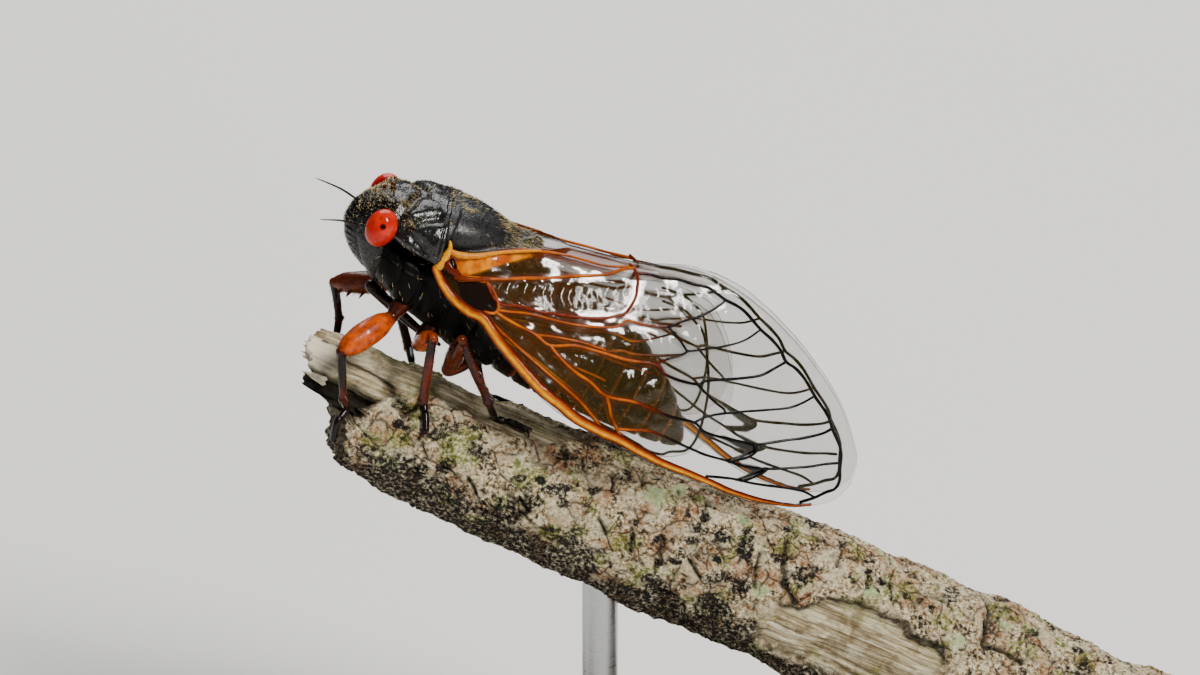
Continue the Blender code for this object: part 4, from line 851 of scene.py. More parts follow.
def stick_stations(pixels, tree):
    """Stations and angles on the stick, seen at pixels of the photo."""
    found = []
    for px, py in pixels:
        start, ahead = sight(px, py, Matrix.Identity(4))
        spot = tree.ray_cast(start, ahead)[0]
        if spot is None:
            continue
        away = spot - Vector((STICK_AT[0], 0.0, STICK_AT[1]))
        station = away.x * math.cos(STICK_SLOPE) - away.z * math.sin(STICK_SLOPE)
        up = away.x * math.sin(STICK_SLOPE) + away.z * math.cos(STICK_SLOPE) + curve(STICK_SAG, station)
        found.append((station, math.degrees(math.atan2(up, -away.y)), spot))
    return found


def segment_distances(places, line):
    """Least distance of each place to a line of straight pieces."""
    best = np.full(len(places), 99.0)
    for p, q in zip(line, line[1:]):
        p, q = np.array(p), np.array(q)
        ahead = q - p
        share = np.clip(((places - p) @ ahead) / max(ahead @ ahead, 1e-9), 0.0, 1.0)
        best = np.minimum(best, np.linalg.norm(places - p - share[:, None] * ahead, axis=1))
    return best


def patches_of(pixels, tree):
    """Patches on the bark: middle in the world, and half length and half width in millimetres."""
    scale = REACH / FOCAL
    return [(found[0][2], wide * scale, tall * scale) for px, py, wide, tall in pixels
            if (found := stick_stations([(px, py)], tree))]


def patch_cover(spot, patches, ragged):
    """How far a place lies inside the nearest of the patches, from 0 to 1."""
    best = 0.0
    for middle, wide, tall in patches:
        away = spot - middle
        if abs(away.x) < 3.0 and abs(away.z) < 3.0 and abs(away.y) < 3.0:
            sideways = math.hypot(away.z, away.y)
            best = max(best, 1.15 - math.hypot(away.x / wide, sideways / tall) + 0.5 * ragged)
    return ease(best * 2.2)


def make_stick():
    """The stick: bark with cracks, crusts and mould, its broken end, bare wood on top and one long scar."""
    def plain(share, along):
        station = along * STICK_LENGTH - 1.0
        angle = -90.0 + 360.0 * share
        return stick_place(station, angle, stick_radius(max(station, 0.0), angle))

    core = wrap(96, 120, plain)
    tree = BVHTree.FromBMesh(core)
    core.free()
    bark_edge = [found[:2] for found in stick_stations(BARK_EDGE, tree)] + [(BARE_END, BARE_TOP_ANGLE)]
    plank_edge = [found[:2] for found in stick_stations(PLANK_EDGE, tree)]
    scar_edge = [found[:2] for found in stick_stations(SCAR_EDGE, tree)]
    cracks, gaps = ([[found[2] for found in stick_stations(line, tree)] for line in lines]
                    for lines in (BARK_CRACKS, WIDE_CRACKS))
    moss, mint, mould_and_shade = (patches_of(spots, tree) for spots in (MOSS_PATCHES, MINT_PATCHES, SOOT_PATCHES))

    def bottom(share, along):
        station, angle, size = stick_grid(share, along)[:3]
        return stick_place(station, angle, stick_radius(max(station, 0.0), angle) * size)

    work = wrap(STICK_COLUMNS, STICK_ROWS, bottom)
    across = work.verts.layers.float["across"]
    along = work.verts.layers.float["along"]
    layers = {word: work.verts.layers.float.new(word) for word in BARK_WORDS}
    places = np.array([vert.co for vert in work.verts])
    near = np.min([segment_distances(places, line) for line in cracks], axis=0)
    wide = np.min([segment_distances(places, line) for line in gaps], axis=0)
    for vert, crack_gap, wide_gap in zip(work.verts, near, wide):
        station, angle, size, inner, outer = stick_grid(vert[across], vert[along])
        seed = vert.co.copy()
        broad = grain(seed, 0.35, 3)
        middle = grain(seed, 1.2, 3, 9.0)
        small = grain(seed, 4.2, 2, 5.0)
        rag = grain(seed, 1.1, 3, 3.0)

        # Bare wood: in front from the bark's edge up, behind as far as the solid's own edge
        bare = 0.0
        if station < BARE_END:
            front = straight(bark_edge, station) + 6.0 * rag - 2.0
            rear = BARE_TOP_ANGLE + curve(BARE_TOP_HALF, station) + 6.0 * rag
            bare = ease((angle - front) / 2.5 + 0.5) * ease((rear - angle) / 3.0 + 0.5)
        scar = scar_edge_shadow = 0.0
        if scar_edge[0][0] - 2.0 < station < scar_edge[-1][0] + 1.0:
            upper = straight(scar_edge, station) + 3.0 * rag
            ends = (ease((station - scar_edge[0][0] + 1.5) / 2.0)
                    * ease((scar_edge[-1][0] + 0.6 - station) / 1.2))
            scar = ends * ease((upper - angle) / 3.0 + 0.5) * ease((angle + 34.0 + 8.0 * rag) / 8.0)
            # Painted shadow: a dark strip just under the scar's upper edge.
            scar_edge_shadow = 0.95 * ends * math.exp(-((upper - 1.6 - angle) / 1.6) ** 2)
        bare = max(bare, scar)
        # The hollow under the plank is sunk into the wood, and it is also darkened as painted shade.
        hollow = 0.0
        if station < 8.0 and angle < 90.0 and bare > 0.0:
            lower = straight(plank_edge, station) + 5.0 + 3.0 * rag
            hollow = bare * ease((lower - angle) / 5.0 + 0.5) * ease((6.6 - station) / 1.2)

        # Cracks: those that the photo shows, and a net of finer ones all round
        warp = Vector((rag, grain(seed, 0.8, 2, 5.0), grain(seed, 0.8, 2, 9.0)))
        cells, _ = noise.voronoi((seed + warp * 1.1) * 0.42)
        net = (1.0 - ease((cells[1] - cells[0]) / 0.08)) * ease((broad - 0.05) * 4.0) * (1.0 - bare)
        shown = 1.0 - ease((crack_gap - 0.07 + 0.05 * middle) / 0.16)
        open_gap = (1.0 - ease((wide_gap - 0.14 + 0.1 * middle) / 0.2)) * (1.0 - 0.5 * bare)
        slot = max(net * 0.8, shown, open_gap)
        pit = 0.0
        dots, _ = noise.voronoi(seed * 0.9 + warp * 0.2)
        if grain(seed, 0.4, 2, 33.0) > 0.02:
            pit = ease((0.2 - dots[0]) / 0.09) * (1.0 - bare)

        fibre = Vector((station * 0.15, math.radians(angle) * 15.0, 3.0))
        strand = noise.fractal(fibre, 0.8, 2.1, 4)
        lift = (1.0 - bare) * (LUMPS[0] * broad + LUMPS[1] * middle + LUMPS[2] * small
                               - CRACK_DEPTH * slot - PIT_DEPTH * pit)
        lift += bare * (FIBRE_HEIGHT * strand + 0.05 * small - BARK_THICKNESS)
        lift -= hollow * (HOLLOW_DEPTH + 0.5 * middle + 0.4 * strand)
        lip = ease(1.0 - abs(angle - 20.0) / 200.0)
        lift += LIP_HEIGHT * lip * (1.0 - bare) * ease((5.2 - station) / 2.0) * rag
        radius = max(stick_radius(max(station, 0.0), angle) + lift, 0.3) * size
        if inner:
            radius += 0.3 * middle * size
        vert.co = stick_place(station, angle, radius)

        height = math.sin(math.radians(angle))
        drab = grain(seed, 0.42, 4, 40.0) + 0.3 * grain(seed, 1.9, 3, 11.0)
        green = grain(seed, 0.35, 4, 21.0) + 0.3 * middle
        seen = -70.0 < angle < 112.0
        # Painted shade: the underside is darkened through the mould cover, below a ragged line.
        under = ease((-height + 0.1 + 0.6 * drab) * 2.2)
        mouldy = ease((drab - (0.3 if seen else 0.22)) * 5.0)
        vert[layers["bare"]] = max(bare, min(1.0, inner * 4.0))
        vert[layers["lichen"]] = max(0.85 * patch_cover(seed, moss, middle),
                                     0.75 * ease((green - (0.25 if seen else 0.08)) * 4.0))
        vert[layers["crust"]] = 0.8 * patch_cover(seed, mint, middle)
        vert[layers["mould_and_shade"]] = max(patch_cover(seed, mould_and_shade, middle), 0.85 * mouldy, 0.93 * under)
        # Painted shade darkens the inside of the broken end, more the deeper in, and goes into the cracks
        # cover with the hollow and the strip under the scar's edge.
        mouth = 0.35 + 0.6 * ease(inner * 2.0) if inner else 0.0
        vert[layers["cracks_and_shade"]] = max(0.9 * slot, 0.8 * pit, 0.97 * hollow, mouth, scar_edge_shadow)
        vert[layers["cut"]] = 1.0 if outer > 0.15 else 0.0
        vert[layers["girth"]] = radius
        torn = ease((2.6 - station) / 2.2) * ease((angle - 34.0) / 6.0) * ease((82.0 - angle) / 4.0)
        vert[layers["fresh"]] = 0.75 * torn * (1.0 - hollow)
    bmesh.ops.recalc_face_normals(work, faces=work.faces)
    settle("perch_twig", work, TWIG, "bark", ["perch"], WORLD)


def splinters(count, seed):
    """Torn shards of wood that stand out of the broken end."""
    draw = np.random.default_rng(seed)
    parts = []
    for _ in range(count):
        angle = draw.uniform(30.0, 150.0)
        start = curve(BREAK_LINE, angle) + jag(angle)
        depth = draw.uniform(0.4, 1.5)
        length = draw.uniform(-0.2, 0.4)
        wide = draw.uniform(0.08, 0.22)
        root = stick_point(start + 1.6, angle, -depth, 1.0)
        lean = draw.uniform(-5.0, 5.0)
        tip = stick_point(start - length, angle + lean, -depth + draw.uniform(-0.3, 0.3), 1.0)
        middle = root.lerp(tip, 0.6) + Vector((0.0, 0.0, draw.uniform(-0.08, 0.08)))
        route = smooth_path([root, middle, tip], 3)
        parts.append(tube(route, spread([wide, wide * 0.8, wide * 0.15], len(route)), 7, 1, 0.35))
    whole = merge(parts)
    for word in BARK_WORDS:
        tone(whole, word, lambda spot: {"bare": 1.0, "fresh": 0.3}.get(word, 0.0))
    return whole


WORLD = Matrix.Identity(4)
make_stick()
settle("perch_splinters", splinters(SPLINTERS, 5), TWIG, "bark", (), WORLD)


# Stand

def make_base():
    """Walnut plate with round corners and a softened edge."""
    plate = bmesh.new()
    bmesh.ops.create_cube(plate, size=1.0)
    bmesh.ops.scale(plate, vec=BASE_SIZE, verts=plate.verts)
    bmesh.ops.translate(plate, vec=(0.0, 0.0, BASE_SIZE[2] / 2), verts=plate.verts)
    upright = [edge for edge in plate.edges if abs(edge.verts[0].co.z - edge.verts[1].co.z) > 1.0]
    bmesh.ops.bevel(plate, geom=upright, offset=BASE_CORNER, segments=14, affect="EDGES", profile=0.5,
                    material=-1)
    top = [edge for edge in plate.edges if min(vert.co.z for vert in edge.verts) > BASE_SIZE[2] - 0.001]
    bmesh.ops.bevel(plate, geom=top, offset=BASE_BEVEL, segments=5, affect="EDGES", profile=0.5, material=-1)
    settle("stand_base_wood", plate, WALNUT, "stand_wood", ["stand_base"], WORLD, 35)


def make_rod(word, x):
    """Turned steel rod in a low ferrule, let a little into the stick's underside."""
    top = stick_underside(x, 0.0) + 0.5
    foot = BASE_SIZE[2] - 0.2
    profile = [(0.0, foot), (FERRULE_RADIUS, foot), (FERRULE_RADIUS, foot + FERRULE_HEIGHT - 0.25),
               (FERRULE_RADIUS - 0.25, foot + FERRULE_HEIGHT), (ROD_RADIUS + 0.25, foot + FERRULE_HEIGHT),
               (ROD_RADIUS, foot + FERRULE_HEIGHT + 0.3), (ROD_RADIUS, top), (0.0, top)]
    rod = bmesh.new()
    verts = [rod.verts.new((radius, 0.0, z)) for radius, z in profile]
    edges = [rod.edges.new(pair) for pair in zip(verts, verts[1:])]
    bmesh.ops.spin(rod, geom=verts + edges, cent=(0.0, 0.0, 0.0), axis=(0.0, 0.0, 1.0), angle=2 * math.pi,
                   steps=48, use_merge=True)
    bmesh.ops.remove_doubles(rod, verts=rod.verts, dist=1e-4)
    bmesh.ops.recalc_face_normals(rod, faces=rod.faces)
    bmesh.ops.translate(rod, vec=(x, 0.0, 0.0), verts=rod.verts)
    settle(f"stand_rod_{word}_steel", rod, STEEL, "stand_steel", [f"stand_rod_{word}"], WORLD, 30)


make_base()
for word, x in ROD_PLACES.items():
    make_rod(word, x)


# Wing surface

def wing_side(x, z):
    """Sideways distance of the fore wing's middle surface from the insect's middle plane."""
    inner = WING_INNER + WING_ROOT_OUT * (1.0 - ease((x + 2.8) / 9.0)) - WING_TAIL_IN * ease((x - 8.0) / 7.0)
    below = max(0.0, curve(INNER_LINE, x) - z)
    reach = WING_REACH * ease((x + 4.2) / 8.0) * (1.0 - 0.8 * ease((x - 9.0) / 24.0))
    start = (WING_SHOULDER / WING_DEPTH) ** WING_BEND
    return inner + reach * (((below + WING_SHOULDER) / WING_DEPTH) ** WING_BEND - start)


def wing_normal(x, z):
    """Outward direction of the fore wing's surface, for a wing on the +y side."""
    step = 0.05
    along = (wing_side(x + step, z) - wing_side(x - step, z)) / (2 * step)
    upward = (wing_side(x, z + step) - wing_side(x, z - step)) / (2 * step)
    return Vector((-along, 1.0, -upward)).normalized()


def body_limit(x, z, width, wings=2):
    """Half width that the body may have at a place without meeting one wing, or two."""
    if x < WING_FRONT:
        return width
    layers = WING_THICK / 2 + GAP
    if wings == 2:
        layers += (WING_SPACING - 0.05) * ease((x + 0.6) / 0.9)
    return min(width, wing_side(x, z) - layers / wing_normal(x, z).y)


def on_wing(px, py, depth=0.0):
    """Place on the left wing seen at a pixel of the photo, as x and z; depth is how far in that wing lies."""
    start, ahead = sight(px, py)
    reach = (-4.0 - start.y) / ahead.y
    for _ in range(12):
        spot = start + ahead * reach
        side = wing_side(spot.x, spot.z) - depth / wing_normal(spot.x, spot.z).y
        reach += (-side - spot.y) / ahead.y * 0.9
    spot = start + ahead * reach
    return spot.x, spot.z


# Body

def head_rear(z):
    """Rear plane of the head, which leans back towards the beak."""
    return HEAD_REAR + (HEAD_TOP - z) * HEAD_LEAN


def head_front(y, z):
    """Front of the head at a height and a distance from the middle."""
    share = min(abs(y) / curve(HEAD_WIDTH, z), 1.0)
    depth = head_rear(z) - curve(FACE, z)
    shape = 0.8 * math.sqrt(1.0 - share ** 3) + 0.2 * math.exp(-(share / 0.45) ** 2)
    return head_rear(z) - depth * shape


def head_skin(across, along):
    """Head capsule, round at mouth and crown, its rear let into the collar."""
    z = -4.35 + 7.6 * along
    shrink = math.sqrt(min(1.0, along / 0.05)) * math.sqrt(min(1.0, (1.0 - along) / 0.05))
    width = curve(HEAD_WIDTH, z)
    phi = 2 * math.pi * across - math.pi
    y = width * math.sin(phi)
    rear = head_rear(z)
    x = head_front(y, z) if abs(phi) <= math.pi / 2 else rear + 0.45 * abs(math.cos(phi))
    middle = (rear + curve(FACE, z)) / 2
    return Vector((middle + (x - middle) * shrink, y * shrink, z))


def head_relief(spot, normal):
    """Swollen ridged face plate, sunk middle line, rims round the eyes and fine lumps."""
    face = math.hypot(spot.y / 1.35, (spot.z + 1.2) / 2.5)
    rise = 0.0
    if normal.x < -0.1:
        rise += 0.28 * ease(1.15 - face)
        rise -= 0.10 * math.exp(-((face - 1.05) / 0.09) ** 2)
        ridged = ease((1.0 - face) * 4.0) * ease((abs(spot.y) - 0.25) / 0.3)
        rise += 0.035 * ridged * math.sin(2 * math.pi * spot.z / 0.42)
    if spot.z > 1.2:
        rise -= 0.09 * math.exp(-(spot.y / 0.13) ** 2) * ease((spot.z - 1.2) / 0.6)
    rim = math.hypot((spot.x - EYE_AT.x) / EYE_HALF.x, (spot.z - EYE_AT.z) / EYE_HALF.z)
    if abs(spot.y) > 1.9:
        rise += 0.14 * math.exp(-((rim - 1.12) / 0.13) ** 2)
    return rise + 0.035 * grain(spot, 1.6, 3) * ease((spot.z + 0.5) / 1.5) + 0.012 * grain(spot, 5.0, 2)


def capped(along, rim):
    """Share along a shell and size of its ring, with its two ends closed by flat faces."""
    if along < rim:
        return 0.0, math.sin(0.5 * math.pi * along / rim) ** 0.7
    if along > 1.0 - rim:
        return 1.0, math.sin(0.5 * math.pi * (1.0 - along) / rim) ** 0.7
    return (along - rim) / (1.0 - 2.0 * rim), 1.0


def pronotum_rear(z):
    """Rear plane of the pronotum."""
    return PRONOTUM_REAR + (SHIELD_CREST - z) * PRONOTUM_REAR_LEAN


def pronotum_skin(across, along):
    """Collar behind the head, arched over the fore part of the thorax."""
    share, size = capped(along, 0.05)
    turn = math.pi * (2.0 * across - 1.0)
    top = curve(PRONOTUM_TOP, share)
    width = curve(PRONOTUM_WIDTH, share)
    y = width * power(math.sin(turn), 0.8)
    if abs(turn) <= math.pi / 2:
        z = PRONOTUM_FLOOR + (top - PRONOTUM_FLOOR) * power(math.cos(turn), 0.75)
    else:
        z = PRONOTUM_FLOOR - 0.5 * abs(math.cos(turn)) ** 0.75
    z = 2.0 + (z - 2.0) * size
    front = head_rear(z) - 0.05
    return Vector((front + share * (pronotum_rear(z) + 0.1 - front), y * size, z))


def mesonotum_skin(across, along):
    """Domed shield between the wing roots."""
    share, size = capped(along, 0.06)
    turn = math.pi * (2.0 * across - 1.0)
    x = MESONOTUM_FRONT + share * (MESONOTUM_TAIL - MESONOTUM_FRONT)
    top = curve(MESONOTUM_TOP, x)
    width = curve(MESONOTUM_WIDTH, x) + 0.25
    floor = straight(MESONOTUM_FLOOR, x)
    side = power(math.sin(turn), 0.8)
    if abs(turn) <= math.pi / 2:
        z = floor + (top - floor) * power(math.cos(turn), 0.7)
    else:
        z = floor - 0.8 * abs(math.cos(turn)) ** 0.7
    middle = floor + 0.5
    z = middle + (z - middle) * size
    front = pronotum_rear(z) - 0.1
    place = front + share * (MESONOTUM_TAIL + 0.1 - front)
    return Vector((place, side * size * body_limit(place, z, width, 1), z))


def thorax_skin(across, along):
    """Lower thorax; the turn is 0 at the back and pi at the belly."""
    share, size = capped(along, 0.05)
    x = THORAX_FRONT + share * (THORAX_TAIL - THORAX_FRONT)
    turn = 2 * math.pi * across
    top = straight(THORAX_TOP, x)
    belly = curve(THORAX_BELLY, x)
    width = curve(THORAX_WIDTH, x)
    middle = (top + belly) / 2
    z = middle + (top - belly) / 2 * power(math.cos(turn), 0.7) * size
    front = head_rear(z) - 0.15
    place = front + share * (THORAX_TAIL + 0.15 - front)
    return Vector((place, body_limit(place, z, width) * power(math.sin(turn), 0.8) * size, z))


def abdomen_skin(across, along):
    """Abdomen of overlapping rings; each one's rear edge stands over the next."""
    share, size = capped(along, 0.02)
    length = ABDOMEN_TAIL - ABDOMEN_START
    x = ABDOMEN_START - 0.4 + share * (length + 0.4)
    ring = max(0.0, (x - ABDOMEN_START) / length * ABDOMEN_RINGS)
    step = ring - math.floor(ring) if ring < ABDOMEN_RINGS else 1.0
    sunk = 0.2 * (1.0 - ease(step / 0.28)) * (1.0 if ring > 0.0 else 0.0) + 0.09 * ease((step - 0.93) / 0.07)
    place = max(x, ABDOMEN_START)
    back = curve(ABDOMEN_BACK, place) - sunk
    belly = curve(ABDOMEN_BELLY, place) + sunk
    width = max(0.1, curve(ABDOMEN_WIDTH, place) - sunk)
    turn = 2 * math.pi * across
    middle = (back + belly) / 2
    z = middle + (back - belly) / 2 * power(math.cos(turn), 0.9) * size
    limit = min(width, body_limit(place, z, width) - sunk * 0.5)
    return Vector((x, limit * power(math.sin(turn), 0.9) * size, z))


def seen_place(tree, pixel, side=-1):
    """Place on a shell seen at a pixel, or its mirror image on the right side."""
    start, ahead = sight(*pixel)
    if side > 0:
        start.y, ahead.y = -start.y, -ahead.y
    return tree.ray_cast(start, ahead)[0]


def mirrored(spot):
    """The same place on the insect's right side."""
    return Vector((spot.x, abs(spot.y), spot.z))


def line_distance(spot, line):
    """Distance from a place to a line of straight pieces."""
    best = 99.0
    for p, q in zip(line, line[1:]):
        ahead = q - p
        share = max(0.0, min(1.0, (spot - p).dot(ahead) / ahead.length_squared))
        best = min(best, (spot - p - ahead * share).length)
    return best


head = wrap(120, 96, head_skin)
emboss(head, head_relief)

collar = wrap(160, 90, pronotum_skin)
collar_tree = BVHTree.FromBMesh(collar)
furrows = [[mirrored(spot) for spot in (seen_place(collar_tree, pixel) for pixel in line) if spot is not None]
           for line in COLLAR_FURROWS]


def collar_relief(spot, normal):
    """Oblique furrows with bulges between them, a middle ridge and a raised rear band."""
    gaps = [line_distance(mirrored(spot), line) for line in furrows]
    seam = gaps.pop(COLLAR_SEAM)
    rise = 0.26 * ease(min(gaps) / 0.9) - 0.16 * math.exp(-(min(gaps) / 0.36) ** 2)
    rise -= 0.07 * math.exp(-(seam / 0.3) ** 2)
    band = spot.x - pronotum_rear(spot.z)
    rise += 0.07 * ease((band + 0.7) / 0.7) - 0.12 * math.exp(-((band + 0.02) / 0.08) ** 2)
    rise -= 0.05 * math.exp(-(spot.y / 0.12) ** 2)
    return (rise + 0.08 * grain(spot, 0.9, 4, 3.0) + 0.012 * grain(spot, 5.0, 2)) * ease((spot.z - 0.6) / 0.6)


emboss(collar, collar_relief)
shield = wrap(140, 90, mesonotum_skin)


def cross_height(spot):
    """Raised cross at the rear of the shield."""
    y = abs(spot.y)
    if spot.x < 2.0 or spot.z < 3.4:
        return 0.0
    arm = 0.35 + abs(spot.x - 3.2) * 0.75
    ridge = math.exp(-((y - arm) / 0.2) ** 2) * ease((spot.x - 2.0) / 0.5)
    knob = math.exp(-(y / 0.35) ** 2 - ((spot.x - 3.3) / 0.5) ** 2)
    return 0.3 * max(ridge, knob)


def shield_relief(spot, normal):
    """Raised cross, faint side lines and a fine leathery grain."""
    side = abs(abs(spot.y) - (1.35 - 0.18 * (spot.x + 3.6)))
    rise = cross_height(spot) - 0.035 * math.exp(-(side / 0.1) ** 2) * ease((0.5 - spot.x) / 2.0)
    rise -= 0.22 * math.exp(-((spot.x - 2.1) / 0.35) ** 2) * ease((abs(spot.y) - 0.5) / 0.6)
    return rise + 0.02 * grain(spot, 1.1, 3, 8.0) + 0.012 * grain(spot, 6.0, 2)


emboss(shield, shield_relief)


def thorax_relief(spot, normal):
    """Plates of the flank with sunk seams between them."""
    rise = 0.0
    for seam in (-5.7, -3.9, -1.4, 1.1, 3.4):
        rise -= 0.16 * math.exp(-((spot.x - seam + 0.25 * spot.z + 0.3 * math.sin(spot.z)) / 0.16) ** 2)
    rise -= 0.12 * math.exp(-((spot.z + 1.6 + 0.12 * spot.x) / 0.16) ** 2)
    return rise + 0.10 * grain(spot, 0.6, 3, 4.0) + 0.02 * grain(spot, 3.0, 2)


chest = wrap(110, 110, thorax_skin)
emboss(chest, thorax_relief)
belly = wrap(100, 200, abdomen_skin)
emboss(belly, lambda spot, normal: 0.02 * grain(spot, 2.5, 3))
ring_length = (ABDOMEN_TAIL - ABDOMEN_START) / ABDOMEN_RINGS
tone(belly, "ring", lambda spot: 0.8 * ease(
    (max(0.0, spot.x - ABDOMEN_START) / ring_length % 1.0 - 0.8) / 0.1))

SHELLS = {}
for node, shell, look, slot in (
        ("head", head, BLACK, "black_shell"), ("pronotum", collar, COLLAR, "black_shell"),
        ("mesonotum", shield, SHIELD, "black_shell"), ("thorax", chest, FLANK, "black_shell"),
        ("abdomen", belly, BELLY, "dark_shell")):
    SHELLS[node] = shell.copy()
    settle(f"cicada_{node}", shell, look, slot, [node])


# Eyes, feelers and beak

PUPIL = (383, 227)
FLECKS = [(381, 218), (389, 219), (386, 237), (377, 240), (373, 223), (392, 232)]
OCELLI = ((-8.75, 0.0, 2.85), (-8.25, -0.42, 3.2), (-8.25, 0.42, 3.2))
OCELLUS_RADIUS = 0.17


def make_eye(word, side):
    """Bulging compound eye, let into the side of the head."""
    eye = bmesh.new()
    bmesh.ops.create_uvsphere(eye, u_segments=72, v_segments=48, radius=1.0)
    bmesh.ops.scale(eye, vec=EYE_HALF * 1.02, verts=eye.verts)
    bmesh.ops.translate(eye, vec=(EYE_AT.x, side * EYE_AT.y, EYE_AT.z), verts=eye.verts)
    eye.normal_update()
    tree = BVHTree.FromBMesh(eye)
    pupil = seen_place(tree, PUPIL, side)
    flecks = [spot for spot in (seen_place(tree, pixel, side) for pixel in FLECKS) if spot is not None]
    # The dark spot is a painted pseudopupil: the shade seen down the facets that face the camera.
    tone(eye, "pupil", lambda spot: ease((0.28 - (spot - pupil).length) / 0.1))
    tone(eye, "fleck", lambda spot: 0.45 * max(ease((0.24 - (spot - one).length) / 0.2) for one in flecks))
    tone(eye, "rim", lambda spot: ease((3.75 - abs(spot.y)) / 0.5))
    settle(f"cicada_eye_{word}", eye, EYE, "eye_red", [f"eye_{word}"])


def make_antenna(word, side):
    """Short feeler: two stout foot joints, then a fine bristle."""
    y, z = ANTENNA_ROOT
    root = Vector((head_front(y, z) + 0.1, side * y, z))
    tip = ANTENNA_TIPS[word]
    end = Vector((tip[0], side * tip[1], tip[2]))
    route = smooth_path([root, root.lerp(end, 0.2), root.lerp(end, 0.55) + Vector((0.0, 0.0, 0.16)), end], 8)
    foot = [0.27, 0.32, 0.28, 0.2, 0.24, 0.2, 0.13, 0.1]
    radii = foot + spread([0.1, 0.09, 0.07, 0.03], len(route) - len(foot))
    settle(f"cicada_antenna_{word}", tube(route, radii, 12), BLACK, "leg_dark", [f"antenna_{word}"])


for make in (make_eye, make_antenna):
    make("left", -1)
    make("right", 1)
route = smooth_path(BEAK, 8)
beak = tube(route, spread([0.52, 0.44, 0.4, 0.3, 0.14], len(route)), 18)
tone(beak, "dusk", lambda spot: 0.85)
settle("cicada_beak", beak, DARK, "leg_dark", ["beak"])


def make_ocelli():
    """Three simple eyes on the crown, like dull red beads."""
    parts = []
    for spot in OCELLI:
        bead = bmesh.new()
        bmesh.ops.create_uvsphere(bead, u_segments=20, v_segments=14, radius=OCELLUS_RADIUS)
        bmesh.ops.translate(bead, vec=spot, verts=bead.verts)
        parts.append(bead)
    beads = merge(parts)
    tone(beads, "dusk", lambda spot: 0.45)
    settle("cicada_ocelli", beads, DARK, "eye_red")


make_ocelli()


# Down and bristles. Each hair is a thin three-sided blade with a bend in it

HAIR_CORNERS = ((0, 1, 4, 3), (1, 2, 5, 4), (2, 0, 3, 5), (3, 4, 6), (4, 5, 6), (5, 3, 6), (0, 2, 1))
PATCH = 0.003
PATCH_CORNERS = ((0.0, 0.0), (1.0, 0.0), (0.5, 0.3), (0.1, 0.6), (0.9, 0.6), (0.5, 0.7), (0.5, 1.0))
bristle_lines = []


def grow(name, roots, mids, tips, halves, maps, material, slot):
    """Piece made of one blade for each root; its map puts each blade at its root's place on the skin."""
    roots, mids, tips = np.array(roots), np.array(mids), np.array(tips)
    halves = np.array(halves)[:, None]
    ahead = tips - roots
    ahead /= np.linalg.norm(ahead, axis=1)[:, None]
    one = np.cross(ahead, np.array((0.31, 0.72, 0.62)))
    one /= np.linalg.norm(one, axis=1)[:, None]
    other = np.cross(ahead, one)
    corners = []
    for base, half in ((roots, halves), (mids, halves * 0.75)):
        for turn in (0.0, 2 * math.pi / 3, 4 * math.pi / 3):
            corners.append(base + (one * math.cos(turn) + other * math.sin(turn)) * half)
    corners.append(tips)
    verts = np.stack(corners, axis=1).reshape(-1, 3)
    faces = [tuple(7 * index + corner for corner in face)
             for index in range(len(roots)) for face in HAIR_CORNERS]
    mesh = bpy.data.meshes.new(name)
    mesh.from_pydata(verts.tolist(), [], faces)
    mesh.transform(MILLIMETRES @ TO_WORLD)
    layer = mesh.uv_layers.new(name="OFBake")
    owners = np.empty(len(mesh.loops), dtype=np.int64)
    mesh.loops.foreach_get("vertex_index", owners)
    shape = np.array(PATCH_CORNERS)[owners % 7] * PATCH
    layer.data.foreach_set("uv", (np.array(maps)[owners // 7] * (1.0 - PATCH) + shape).ravel())
    put(name, mesh, material, slot)


def scatter(shell, count, seed, density):
    """Places on a shell picked by area and density, each with its outward direction and map place."""
    draw = np.random.default_rng(seed)
    work = shell.copy()
    bmesh.ops.triangulate(work, faces=work.faces)
    work.normal_update()
    across = work.verts.layers.float["across"]
    along = work.verts.layers.float["along"]
    # Faces over the seam, where across jumps from 1 to 0, are left out
    faces = [face for face in work.faces
             if max(v[across] for v in face.verts) - min(v[across] for v in face.verts) < 0.5]
    weights = np.array([face.calc_area() * density(face.calc_center_median()) for face in faces])
    picks = draw.choice(len(faces), size=count, p=weights / weights.sum())
    found = []
    for index, (p, q) in zip(picks, draw.random((count, 2))):
        if p + q > 1.0:
            p, q = 1.0 - p, 1.0 - q
        a, b, c = faces[index].verts
        spot = a.co * (1.0 - p - q) + b.co * p + c.co * q
        place = [a[key] * (1.0 - p - q) + b[key] * p + c[key] * q for key in (across, along)]
        found.append((spot, faces[index].normal.copy(), place))
    work.free()
    return found


def make_down(name, node, count, seed, density, lie, length, half, lift, material=GOLD, slot="black_shell"):
    """Down over a node's shell: each hair lies along lie(place), lifted off the skin by an angle."""
    draw = np.random.default_rng(seed + 1000)
    roots, mids, tips, halves, maps = [], [], [], [], []
    for spot, normal, place in scatter(SHELLS[node], count, seed, density):
        ahead = lie(spot) + Vector(draw.normal(0.0, 0.3, 3))
        ahead = (ahead - normal * ahead.dot(normal)).normalized()
        long = length * draw.uniform(0.65, 1.3)
        rise = math.tan(math.radians(lift)) * draw.uniform(0.5, 1.5)
        roots.append(spot - normal * 0.04)
        mids.append(spot + ahead * long * 0.5 + normal * long * 0.62 * rise)
        tips.append(spot + ahead * long + normal * long * 0.9 * rise)
        halves.append(half * draw.uniform(0.7, 1.3))
        maps.append(place)
    grow(name, roots, mids, tips, halves, maps, material, slot)


def bristle_row(skin_root, tip, half):
    """Keeps one bristle for the shared piece of leg bristles."""
    bristle_lines.append((skin_root, skin_root.lerp(tip, 0.55), tip, half))


